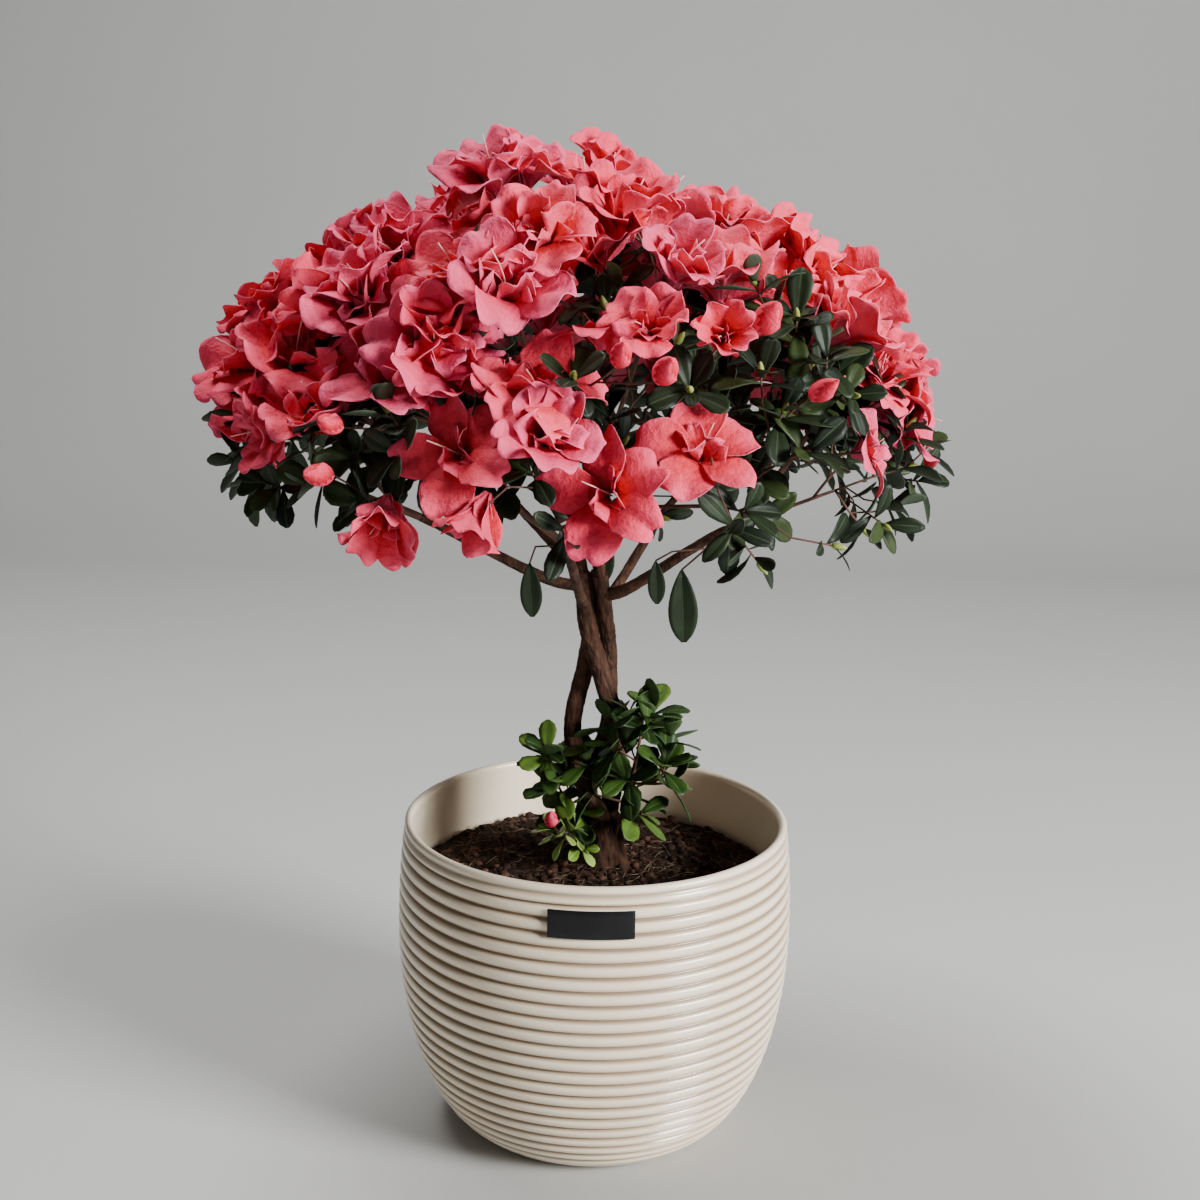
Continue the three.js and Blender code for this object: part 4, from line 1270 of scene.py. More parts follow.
@dataclass(frozen=True)
class Bough:
    """One bough: where it points, the stem that carries it, the height where it leaves, its two radii."""

    name: str
    azimuth: float
    stem: str
    leaves: float | None
    root: float
    tip: float
    springing: float = 0.16
    leaving: float = 0.3
    gap: float = 0.3

    @property
    def reach(self) -> Reach:
        """How far the bough and its mass go."""
        return TOP_REACH if self.leaves is None else OUTER_REACH

    def heart(self) -> Vector:
        """The middle of the bough's mass."""
        return DOME.on_axis(self.azimuth, self.reach.heart_out, self.reach.heart_height)

    def controls(self) -> list[Vector]:
        """The control points of the bough's middle line."""
        stem = STEMS[self.stem]
        end = DOME.on_axis(self.azimuth, self.reach.tip_out, self.reach.tip_height)
        leaving = (self.heart() - end).normalized()
        if self.leaves is None:
            springing = stem.heading(1)
            start = stem.point(1) + springing * self.gap
        else:
            part = stem.part_at(self.leaves)
            along = stem.heading(part)
            springing = compass(self.azimuth)
            springing = (springing - along * springing.dot(along)).normalized()
            start = stem.point(part) + springing * (stem.radius + self.gap)
        span = (end - start).length
        return [start, start + springing * span * self.springing, end - leaving * span * self.leaving, end]

    def space(self) -> list[tuple[Vector, float]]:
        """The planes that the bough's mass keeps on the inner side of, each a normal and an offset."""
        if self.leaves is not None:
            return self.wedge() + [self.inner_slope()]
        slopes = [bough.inner_slope() for bough in BOUGHS if bough.leaves is not None]
        return self.wedge() + [(-normal, -offset) for normal, offset in slopes]

    def wedge(self) -> list[tuple[Vector, float]]:
        """Two upright planes through the dome's axis, on either side of the bough."""
        axis = Vector((DOME.x, DOME.y, 0))
        half = self.reach.half_angle
        normals = [compass(self.azimuth - half + 90), compass(self.azimuth + half - 90)]
        return [(normal, normal.dot(axis)) for normal in normals]

    def inner_slope(self) -> tuple[Vector, float]:
        """The sloping plane between an outer mass and the top of the head."""
        lean = radians(DOME.slope_tilt)
        normal = compass(self.azimuth) * sin(lean) - UP * cos(lean)
        return normal, normal.dot(Vector((DOME.x, DOME.y, DOME.slope_apex)))

    def holds(self, point: Vector) -> bool:
        """Whether a point lies in the space of the bough's mass."""
        return all(normal.dot(point) >= offset for normal, offset in self.space())


BOUGHS = (
    Bough("left", 194, "left", 331, 3.4, 2.2),
    Bough("front", 266, "left", 320, 3.2, 2.1),
    Bough("right", 338, "right", 326, 3.6, 2.3),
    Bough("rear_right", 50, "rear", 318, 3.2, 2.1),
    Bough("rear_left", 122, "rear", 330, 3.2, 2.1),
    Bough("top_left", 210, "left", None, 3.4, 2.2),
    Bough("top_right", 330, "right", None, 3, 2.1),
    Bough("top_rear", 90, "rear", None, 3.4, 2.2),
)


@dataclass
class Trunk:
    """The foot, the stems and the boughs, each with the bark's relief and painted shade in its furrows."""

    foot: Foot
    foot_rings: int = 26
    foot_sunk: float = 0.5
    foot_inset: float = 0.3
    stem_rings: int = 150
    stem_taper: Span = (1.04, 0.96)
    stem_sunk: float = 13
    sunk_rings: int = 5
    bough_rings: int = 60
    bough_sunk: float = 3
    ridge_pitch: float = 0.045
    ridges_round: float = 1.7
    middle_scale: float = 1.9
    fine_scale: Triple = (4.2, 4.2, 3)
    shares: Triple = (0.5, 0.45, 0.25)
    sink: float = 0.2
    # how closely the painted shade follows the furrows of the relief
    contrast: float = 1.1

    def relief(self, length: float, turn: float, twist: float, seed: float) -> float:
        """Ridges of bark that run along a limb, from about -1 to 1."""
        turned, wide = turn + length * twist, self.ridges_round
        place = Vector((cos(turned) * wide, sin(turned) * wide, length * self.ridge_pitch + seed))
        broad = noise.noise(place)
        middle = 1 - 2 * abs(noise.noise(place * self.middle_scale))
        finer = Vector([value * scale for value, scale in zip(place, self.fine_scale)])
        fine = 1 - 2 * abs(noise.noise(finer))
        return self.shares[0] * broad + self.shares[1] * middle + self.shares[2] * fine - self.sink

    def limb(
        self,
        name: str,
        node: str,
        path: list[Vector],
        radius: Callable[[float, float], float],
        sides: int,
        rough: float,
        twist: float,
        painted_shade_level: float = 0.45,
        finish: PaintedShadeAndToneFinish = BARK,
    ) -> Object:
        """Bends a rod along a limb and gives it the bark's relief.

        Args:
            name: the piece's name.
            node: the node that it stands for.
            path: its middle line, one point a ring.
            radius: the smooth radius from the part along and the turn.
            sides: corners in a ring.
            rough: how far the ridges stand out, in millimetres.
            twist: how much the ridges turn for each millimetre.
            painted_shade_level: how much painted shade it has overall, more in the furrows than on the
                ridges.
            finish: its bark.

        Returns:
            The limb.
        """
        length = sum((b - a).length for a, b in zip(path, path[1:]))
        seed = path[0].x * 0.37 + path[0].y * 0.73
        rod = Rod(sides, len(path) - 1)

        def relief_at(part: float, turn: float) -> float:
            """The bark's relief at a part of the length and a turn."""
            return self.relief(part * length, turn, twist, seed)

        bent = rod.bent(path, lambda part, turn: radius(part, turn) + rough * relief_at(part, turn))
        made = Piece(name, "bark", (node,), [finish], [bent]).build()
        turns = [(z, atan2(y, x)) for x, y, z in rod.shape.corners]
        # painted shade: darker down in the bark's furrows, from the same relief
        set_painted_shade_and_tone(made, [painted_shade_level - self.contrast * relief_at(z, turn) for z, turn in turns])
        return made

    def build(self) -> list[Object]:
        """Makes every limb.

        Returns:
            The foot, the stems and the boughs.
        """
        made = [self.build_foot()]
        for stem in STEMS.values():
            start = stem.point(0)
            path = [
                start - UP * self.stem_sunk * (1 - step / self.sunk_rings) for step in range(self.sunk_rings)
            ]
            path += [stem.point(step / self.stem_rings) for step in range(self.stem_rings + 1)]
            made.append(self.limb(
                f"bark_stem_{stem.name}", f"stem_{stem.name}", path,
                lambda part, turn, stem=stem: stem.radius * mix(*self.stem_taper, part),
                sides=40, rough=1.1, twist=0.02,
            ))
        for bough in BOUGHS:
            controls = bough.controls()
            rooted = controls[0] - (controls[1] - controls[0]).normalized() * self.bough_sunk
            made.append(self.limb(
                f"bark_bough_{bough.name}", f"bough_{bough.name}",
                [rooted] + bezier(controls, self.bough_rings),
                lambda part, turn, bough=bough: mix(bough.root, bough.tip, part),
                sides=20, rough=0.6, twist=0.03,
            ))
        return made

    def build_foot(self) -> Object:
        """Makes the foot, a little inside the solid's flanks."""
        foot, rings = self.foot, self.foot_rings
        rise = foot.top - foot.bottom
        path = [
            Vector((foot.x, 0, foot.bottom - self.foot_sunk + rise * step / rings))
            for step in range(rings + 1)
        ]

        def radius(part: float, turn: float) -> float:
            """The foot's own radius at a part of its height and a turn."""
            height = mix(foot.bottom, foot.top, part)
            return foot.radius(-degrees(turn) - 90, height) - self.foot_inset

        # the foot gets more painted shade, where it lies under the shoots
        return self.limb(
            "bark_foot", "trunk_foot", path, radius, sides=72, rough=3, twist=0.01, painted_shade_level=0.6,
            finish=SHADED_ROOT_BARK,
        )


# Blossom


@dataclass(frozen=True)
class Petal:
    """One petal in units of its bloom's radius: x outward, z the way that the bloom faces."""

    length: float
    half_width: float
    steep: float
    lean: float
    curl: float
    wave: float
    folds: float
    phase: float
    twist: float
    columns: int
    rows: int
    thickness: float = 0.01
    tube_radius: float = 0.07
    tube_depth: float = 0.6
    opens_by: float = 0.5
    wrap: float = 0.6
    least_radius: float = 0.02
    wrap_radius: float = 0.12
    wrap_limit: float = 1.3
    rounding: float = 0.38
    notch: float = 0.035
    notch_width: float = 0.16
    lobing: float = 0.03
    lobe_pitch: float = 1.3
    root_width: float = 0.16
    full_at: float = 0.62
    tip_taper: float = 0.14
    gutter: float = 0.03
    gutter_width: float = 0.2
    dish: float = 0.12
    tilt: float = 0.1
    fold_centre: float = 0.35
    throat_end: float = 0.1
    blade_run: float = 0.78

    def middle_line(self, steps: int = 60) -> np.ndarray:
        """Rows of part, radius, height and slope along the petal's middle, from its root to its tip."""
        out, height = self.tube_radius, -self.tube_depth
        line = []
        for step in range(steps + 1):
            part = step / steps
            opening = mix(self.steep, self.lean, smooth(part / self.opens_by))
            curled = smooth((part - self.opens_by) / (1 - self.opens_by))
            slope = radians(opening - self.curl * curled)
            line.append((part, out, height, slope))
            out += self.length / steps * cos(slope)
            height += self.length / steps * sin(slope)
        return np.array(line).T

    def turn(self, across: float, part: float) -> float:
        """The turn round the middle of the blade that a point of it lies at, times the folds."""
        return self.folds * atan2(across, part - self.fold_centre)

    def frill(self, across: float, part: float, along: float) -> float:
        """How far the petal's surface is lifted by the ruffles of its margin."""
        margin = 1 - (1 - along * along) * (1 - across * across * smooth(part / self.opens_by))
        turn = self.turn(across, part)
        ruffle = 0.8 * sin(turn + self.phase) + 0.6 * sin(0.51 * turn + 2.3 * self.phase)
        return self.wave * margin**1.6 * ruffle

    def shape(self) -> Shape:
        """The petal as a thin closed sheet with a tint for each row."""
        parts, outs, heights, slopes = self.middle_line()

        def bend(across: float, along: float) -> Vector:
            """A point of the petal's back, from its place across and along."""
            rim = 1 - self.rounding * abs(across) ** 3
            rim -= self.notch * bell(across, self.notch_width) * along**4
            rim += self.lobing * along**3 * cos(self.lobe_pitch * self.turn(across, 1) + self.phase)
            part = (1 - (1 - along) ** 1.3) * rim
            out, height, slope = (float(np.interp(part, parts, row)) for row in (outs, heights, slopes))
            half = self.half_width * mix(self.root_width, 1, smooth(part / self.full_at))
            half *= 1 - self.tip_taper * along**6
            lift = self.frill(across, part, along) - self.gutter * bell(across, self.gutter_width) * part
            cupped = self.dish * across * across * half + self.tilt * across + self.twist * across * part
            lift += cupped * part
            radius = max(out - lift * sin(slope), self.least_radius)
            turn = min(half * across * self.wrap / max(radius, self.wrap_radius), self.wrap_limit)
            flat = half * across * (1 - self.wrap)
            return Vector((
                radius * cos(turn) + flat * sin(turn),
                -radius * sin(turn) - flat * cos(turn),
                height + lift * cos(slope),
            ))

        def step_at(across: float, along: float) -> int:
            """The blade's tint at a place along it, the same all the way across."""
            return round((BLADE_STEPS - 1) * min(max((along - self.throat_end) / self.blade_run, 0), 1))

        return thin_sheet(
            self.columns, self.rows, self.thickness, bend, step_at, PetalSlot.EDGE, PetalSlot.BACK
        )


@dataclass(frozen=True)
class Whorl:
    """A ring of petals: how many, and the limits that each one's sizes are drawn from."""

    count: int
    length: Span
    half_width: Span
    lean: Span
    curl: Span
    wave: Span
    folds: Span
    twist: float
    steep: float
    stray: float
    columns: int
    rows: int
    closed_lean: float = 78
    uncurled: float = 0.7

    def petals(self, cup: float, draw: Draw) -> list[Shape]:
        """The petals, closed as far as the cup says.

        Args:
            cup: how far they close, from 0 to 1.
            draw: where their differences come from.

        Returns:
            The petals in place.
        """
        made = []
        for index in range(self.count):
            petal = Petal(
                length=draw.between(*self.length),
                half_width=draw.between(*self.half_width),
                steep=self.steep,
                lean=mix(draw.between(*self.lean), self.closed_lean, cup),
                curl=draw.between(*self.curl) * (1 - self.uncurled * cup),
                wave=draw.between(*self.wave),
                folds=draw.between(*self.folds),
                phase=draw.between(0, tau),
                twist=draw.between(-self.twist, self.twist),
                columns=self.columns,
                rows=self.rows,
            )
            turn = radians(360 / self.count * index + draw.between(-self.stray, self.stray))
            made.append(petal.shape().moved(Matrix.Rotation(turn, 4, "Z")))
        return made


OUTER_WHORL = Whorl(
    count=5, length=(1.2, 1.42), half_width=(0.56, 0.74), lean=(8, 42), curl=(5, 60), wave=(0.085, 0.14),
    folds=(4, 5.6), twist=0.16, steep=78, stray=9, columns=16, rows=7,
)
FLAT_WHORL = Whorl(
    count=5, length=(1.22, 1.44), half_width=(0.45, 0.6), lean=(2, 26), curl=(5, 60), wave=(0.045, 0.09),
    folds=(3.6, 5), twist=0.18, steep=80, stray=9, columns=16, rows=7,
)
INNER_WHORL = Whorl(
    count=4, length=(0.84, 1.18), half_width=(0.34, 0.52), lean=(34, 74), curl=(-20, 60), wave=(0.09, 0.16),
    folds=(3.4, 4.8), twist=0.3, steep=84, stray=26, columns=9, rows=5,
)
SMALL_WHORL = Whorl(
    count=5, length=(0.66, 0.88), half_width=(0.18, 0.3), lean=(40, 82), curl=(-20, 60), wave=(0.08, 0.13),
    folds=(2.4, 3.4), twist=0.6, steep=86, stray=30, columns=5, rows=4,
)


class BloomForm(Enum):
    """How far a bloom is open: how far it closes to a bell, how many shapes are made, and its whorls."""

    FLAT = (0.0, 5, (FLAT_WHORL, SMALL_WHORL))
    LOOSE = (0.15, 7, (OUTER_WHORL, INNER_WHORL, SMALL_WHORL))
    HALF = (0.42, 6, (OUTER_WHORL, INNER_WHORL, SMALL_WHORL))
    BELL = (0.75, 4, (OUTER_WHORL, SMALL_WHORL))

    def __init__(self, cup: float, variants: int, whorls: tuple[Whorl, ...]) -> None:
        """Names what the form is made of."""
        self.cup = cup
        self.variants = variants
        self.whorls = whorls


@dataclass
class BlossomKit:
    """The shapes that the blossom is made of: blooms in each form, and buds."""

    seed: int = 71
    cup_stray: float = 0.08
    blooms: dict[BloomForm, list[Shape]] = field(default_factory=dict)

    def __post_init__(self) -> None:
        """Makes each form's blooms."""
        draw = Draw(self.seed)
        for form in BloomForm:
            self.blooms[form] = [self.bloom(form, draw) for _ in range(form.variants)]

    def bloom(self, form: BloomForm, draw: Draw) -> Shape:
        """A ruffled funnel of petals with a long style.

        Args:
            form: how far it opens and which whorls it has.
            draw: where its small differences come from.

        Returns:
            The bloom at a radius of one.
        """
        cup = form.cup + draw.between(-self.cup_stray, self.cup_stray)
        petals = [petal for whorl in form.whorls for petal in whorl.petals(max(cup, 0), draw)]
        return Shape.joined([self.style(draw), *petals])

    @staticmethod
    def style(draw: Draw) -> Shape:
        """The long pale style that curves up out of the throat."""
        root, radius, steps = -0.5, 0.013, 4
        lean = compass(draw.between(0, 360)) * draw.between(0.1, 0.4)
        top = mix(0.2, 0.7, draw.number() ** 2)
        path = [UP * mix(root, top, step / steps) + lean * (step / steps) ** 2 for step in range(steps + 1)]
        rod = Rod(4, steps).bent([point / MM for point in path], lambda part, turn: radius / MM)
        rod.slots = np.full_like(rod.slots, PetalSlot.STYLE)
        return rod

    @staticmethod
    def bud(plump: float = 0.5) -> Shape:
        """A bud of furled petals, one long along x, with a green calyx at its root.

        Args:
            plump: how round it is, from a slim point at 0 to a globe at 1.

        Returns:
            The bud.
        """
        calyx, petals, slant = 0.16, 3, 1.1
        mesh = bmesh.new()
        bmesh.ops.create_uvsphere(mesh, u_segments=18, v_segments=11, radius=1)
        widest = mix(0.2, 0.33, plump)
        for vert in mesh.verts:
            along = (vert.co.z + 1) / 2
            turn = atan2(vert.co.y, vert.co.x)
            furl = ((turn / tau * petals + along * slant) % 1) ** 1.5
            swell = sin(pi * min(max(along, 0.01), 0.99) ** 0.85) ** mix(1, 0.65, plump)
            radius = widest * swell * (0.88 + 0.16 * furl)
            vert.co = Vector((along, radius * cos(turn), radius * sin(turn)))
        for face in mesh.faces:
            middle = face.calc_center_median()
            furl = (atan2(middle.z, middle.y) / tau * petals + middle.x * slant) % 1
            # painted shade: each furled petal darkens towards where it tucks under the next, lighter towards
            # its raised edge
            shade = round(mix(1, BLADE_STEPS - 1, furl))
            face.material_index = PetalSlot.CALYX if middle.x < calyx else shade
        bmesh.ops.recalc_face_normals(mesh, faces=mesh.faces)
        return Shape.taken_from(mesh)


# Leaves


@dataclass
class LeafKit:
    """Leaf shapes, one long along x: broadest near the blunt tip, folded along the rib and drooping."""

    width: float = 0.25
    fullest: float = 1.95
    blunt: float = 0.55
    stalk: float = 0.09
    rib: float = 0.1
    thickness: float = 0.014
    droop: Span = (0.02, 0.3)
    fold: Span = (0.1, 0.5)
    twist: Span = (-0.1, 0.1)
    columns: int = 5
    rows: int = 5
    variants: int = 7
    seed: int = 19
    leaves: list[Shape] = field(default_factory=list)

    def __post_init__(self) -> None:
        """Makes each leaf."""
        draw = Draw(self.seed)
        for _ in range(self.variants):
            bends = [draw.between(*span) for span in (self.droop, self.fold, self.twist)]
            self.leaves.append(self.leaf(*bends))

    def leaf(self, droop: float, fold: float, twist: float) -> Shape:
        """One leaf.

        Args:
            droop: how far its tip bends back, as a part of its length.
            fold: how much its halves rise from the rib.
            twist: how much it turns along its length.

        Returns:
            The leaf.
        """

        def bend(across: float, along: float) -> Vector:
            """A point of the leaf's back, from its place across and along."""
            part = 1 - (1 - along) ** 1.4
            outline = sin(pi * min(part, 0.995) ** self.fullest) ** self.blunt
            half = self.width * max(outline, self.stalk + 0.1 * part)
            beside = copysign(abs(across) ** 1.5, across) * half
            lift = fold * abs(beside) * (1 - 0.5 * part) - droop * part * part + twist * beside * part * 4
            return Vector((part * (1 - 0.3 * droop), -beside, lift))

        def slot(across: float, along: float) -> int:
            """The rib or the blade, the same all the way along."""
            return LeafSlot.RIB if abs(across) < self.rib else LeafSlot.BLADE

        back = LeafSlot.UNDERSIDE
        return thin_sheet(self.columns, self.rows, self.thickness, bend, slot, back, back)

    @staticmethod
    def leaf_bud() -> Shape:
        """A small pointed bud, one long along x."""
        widest, taper = 0.24, 0.55
        mesh = bmesh.new()
        bmesh.ops.create_uvsphere(mesh, u_segments=8, v_segments=6, radius=1)
        for vert in mesh.verts:
            along = (vert.co.z + 1) / 2
            scale = widest * (1.15 - taper * along)
            vert.co = Vector((along, vert.co.y * scale, vert.co.x * scale))
        bmesh.ops.recalc_face_normals(mesh, faces=mesh.faces)
        return Shape.taken_from(mesh)


# Growth of the head


class SiteKind(Enum):
    """What a twig of the head ends in."""

    BLOOM = "bloom"
    BUD = "bud"
    LEAVES = "leaves"
    HANGING = "hanging"


@dataclass(frozen=True)
class Site:
    """A place in the head that a twig grows to."""

    kind: SiteKind
    point: Vector
    facing: Vector
    radius: float = 0
    cup: float = 0
    spin: float = 0


# Blooms that stand out at the front: azimuth, elevation, radius, how they nod and how far they close
CHOSEN_BLOOMS = (
    (289, 12, 28, 0, 0),
    (274, 4, 28, 0.2, 0),
    (252, 10, 28, 0.1, 0),
    (241, -7, 27, 0.9, 0.6),
    (256, -3, 22, 1.2, 0.8),
    (266, 14, 24, 0, 0.2),
    (321, 9, 22, 0, 0),
    (281, 35, 23, 0.1, 0.2),
    (293, 32, 21, 0.3, 0.6),
    (290, 50, 27, 0, 0.3),
    (213, 9, 28, 0.3, 0.4),
    (272, 78, 30, 0, 0),
    (261, 57, 26, 0.2, 0.1),
)
# Large buds at the front: azimuth and elevation
CHOSEN_BUDS = ((282, 23), (276, 26), (306, 19), (234, 12), (233, 4), (300, 33))
# Single leaves below the head: azimuth, distance from the axis, height and length
HANGING_LEAVES = ((330, 66, 347, 42), (322, 54, 352, 25), (248, 70, 356, 30), (80, 70, 352, 36))


@dataclass(frozen=True)
class Lattice:
    """Directions spread evenly by the golden angle between two elevations."""

    count: int
    start: float
    lowest: float
    highest: float = 90

    def ways(self) -> list[Span]:
        """The directions from the highest down.

        Returns:
            The azimuth and the elevation of each.
        """
        low, high = sin(radians(self.lowest)), sin(radians(self.highest))
        row = []
        for index in range(self.count):
            sine = mix(high, low, (index + 0.5) / self.count)
            row.append(((self.start + index * GOLDEN_ANGLE) % 360, degrees(asin(sine))))
        return row


@dataclass
class HeadPlan:
    """Where the blooms, buds and leaves of the head lie: the solids' places and finer ones between."""

    seed: int = 2024
    chosen_depth: float = 1.03
    chosen_bud_depth: float = 1.02
    chosen_room: float = 33
    blooms: Lattice = Lattice(100, 40, 2)
    bloom_floor: float = 5
    bloom_radius: Span = (27, 33)
    bloom_cup: float = 0.35
    leafy_patches: tuple[Triple, ...] = (
        (308, 25, 38), (284, 13, 18), (110, 36, 13), (237, 10, 14), (268, 14, 11),
    )
    clusters: Lattice = Lattice(42, 96, 2)
    cluster_span: float = 36
    cluster_reach: float = 1.2
    cluster_pull: float = 0.26
    cluster_lift: float = 7
    cluster_drop: float = 1.8
    cluster_splay: float = 0.5
    under_blooms: Lattice = Lattice(84, 40 + GOLDEN_ANGLE / 2, 6)
    under_floor: float = 3
    under_room: float = 24
    under_depth: float = 0.9
    under_stray: Span = (-0.03, 0.06)
    under_turn: float = 4
    under_nod: Span = (-0.25, 0.35)
    under_radius: Span = (24, 30)
    under_cup: float = 0.8
    sprays: Lattice = Lattice(560, 75, -26, 64)
    leaf_floor: float = 4
    leaf_room: float = 32
    leaf_open: tuple[float, ...] = (0.97, 0.9, 0.8, 0.94, 0.68)
    leaf_under: tuple[float, ...] = (0.84, 0.76)
    leaf_stray: float = 0.02
    leaf_nod: Span = (-0.5, 0.3)
    among_blooms: tuple[int, int] = (2, 5)
    sparse_below: float = 3
    inner_depth: float = 0.86
    screen_side: float = 282
    screen_spread: float = 32
    screen_lowest: float = -16
    open_side: float = 306
    open_spread: float = 42
    open_thinning: tuple[float, int, int] = (-5, 2, 4)
    other_thinning: tuple[float, int, int] = (-6, 1, 3)
    bare_side: float = 218
    bare_spread: float = 48
    bare_limits: Span = (-24, -3)

    def floor(self, azimuth: float) -> float:
        """The elevation below which there are leaves and no lattice blooms."""
        floor = self.bloom_floor
        for middle, spread, lift in self.leafy_patches:
            floor += lift * bell(angle_between(azimuth, middle), spread)
        return floor

    def thinning(self, azimuth: float, elevation: float) -> int:
        """One spray of this many is kept: fewest low down, where the twigs spread to the right."""
        if elevation > self.sparse_below:
            return 1
        is_open = angle_between(azimuth, self.open_side) < self.open_spread
        height, above, below = self.open_thinning if is_open else self.other_thinning
        return above if elevation > height else below

    def bare_below(self, azimuth: float) -> float:
        """The elevation below which there are no leaves: high on the side where the boughs lie bare."""
        return mix(*self.bare_limits, bell(angle_between(azimuth, self.bare_side), self.bare_spread))

    def is_bare(self, azimuth: float, elevation: float, depth: float) -> bool:
        """Whether no leaves grow there: on the bare side, or inside below the dome but for a screen."""
        is_inner = elevation < self.sparse_below and depth < self.inner_depth
        is_beside_screen = angle_between(azimuth, self.screen_side) >= self.screen_spread
        is_open_inside = is_inner and (is_beside_screen or elevation <= self.screen_lowest)
        return elevation < self.bare_below(azimuth) or is_open_inside

    def site(
        self, kind: SiteKind, azimuth: float, elevation: float, depth: float, spin: float,
        radius: float = 0, nod: float = 0, cup: float = 0,
    ) -> Site:
        """One place on the dome, facing out of it and nodding a little."""
        point = DOME.point(azimuth, elevation, depth)
        facing = (DOME.normal(point) - UP * nod).normalized()
        return Site(kind, point, facing, radius, cup, spin)

    def gathered(self, bloom: Site, middles: Sequence[Vector]) -> Site:
        """A bloom drawn into its cluster, where it stands higher near the middle and leans out from it."""
        middle = min(middles, key=lambda point: (point - bloom.point).length)
        away = bloom.point - middle
        part = min(away.length / self.cluster_span, self.cluster_reach)
        lift = bloom.facing * self.cluster_lift * (1 - self.cluster_drop * part * part)
        facing = (bloom.facing + away.normalized() * self.cluster_splay * part).normalized()
        return replace(bloom, point=middle + away * (1 - self.cluster_pull) + lift, facing=facing)

    def sites(self) -> list[Site]:
        """Every place, blooms first."""
        middles = [DOME.point(*way) for way in self.clusters.ways()]
        draw = Draw(self.seed)
        made = [
            self.site(SiteKind.BLOOM, *bloom[:2], self.chosen_depth, draw.between(0, 360), *bloom[2:])
            for bloom in CHOSEN_BLOOMS
        ]
        chosen = [site.point for site in made]
        for bud in CHOSEN_BUDS:
            made.append(self.site(SiteKind.BUD, *bud, self.chosen_bud_depth, draw.between(0, 360)))
        for azimuth, elevation in self.blooms.ways():
            radius = draw.between(*self.bloom_radius)
            cup = draw.between(0, self.bloom_cup)
            bloom = self.site(SiteKind.BLOOM, azimuth, elevation, 1, draw.between(0, 360), radius, 0, cup)
            is_crowded = is_near(chosen, bloom.point, self.chosen_room)
            if elevation > self.floor(azimuth) and not is_crowded:
                made.append(self.gathered(bloom, middles))
        finer = Draw(self.seed + 1)
        made += self.deeper_blooms(chosen, middles, finer) + self.leaf_sprays(chosen, finer)
        for azimuth, out, height, length in HANGING_LEAVES:
            made.append(Site(SiteKind.HANGING, DOME.on_axis(azimuth, out, height), UP.copy(), length))
        return made

    def deeper_blooms(self, chosen: Sequence[Vector], middles: Sequence[Vector], draw: Draw) -> list[Site]:
        """Blooms a little deeper in between the others.

        Args:
            chosen: the places of the blooms that stand out.
            middles: the middles of the clusters.
            draw: where small differences come from.

        Returns:
            Their places.
        """
        made = []
        for azimuth, elevation in self.under_blooms.ways():
            depth = self.under_depth + draw.between(*self.under_stray)
            nod = draw.between(*self.under_nod)
            bloom = self.site(
                SiteKind.BLOOM, azimuth + draw.between(-self.under_turn, self.under_turn), elevation, depth,
                draw.between(0, 360), draw.between(*self.under_radius), nod, draw.between(0, self.under_cup),
            )
            is_crowded = is_near(chosen, bloom.point, self.under_room)
            if elevation > self.floor(azimuth) + self.under_floor and not is_crowded:
                made.append(self.gathered(bloom, middles))
        return made

    def leaf_sprays(self, chosen: Sequence[Vector], draw: Draw) -> list[Site]:
        """Sprays of leaves, open in the leafy patches and below, and fewer and deeper under the blooms.

        Args:
            chosen: the places of the blooms that stand out.
            draw: where small differences come from.

        Returns:
            Their places.
        """
        made = []
        kept, of_all = self.among_blooms
        for index, (azimuth, elevation) in enumerate(self.sprays.ways()):
            is_under = elevation > self.floor(azimuth) + self.leaf_floor
            layers = self.leaf_under if is_under else self.leaf_open
            depth = layers[index % len(layers)] + draw.between(-self.leaf_stray, self.leaf_stray)
            spin = draw.between(0, 360)
            nod = draw.between(*self.leaf_nod)
            spray = self.site(SiteKind.LEAVES, azimuth, elevation, depth, spin, nod=nod)
            is_left_out = (
                self.is_bare(azimuth, elevation, depth)
                or index % self.thinning(azimuth, elevation) != 0
                or is_near(chosen, spray.point, self.leaf_room)
                or (is_under and index % of_all >= kept)
            )
            if not is_left_out:
                made.append(spray)
        return made


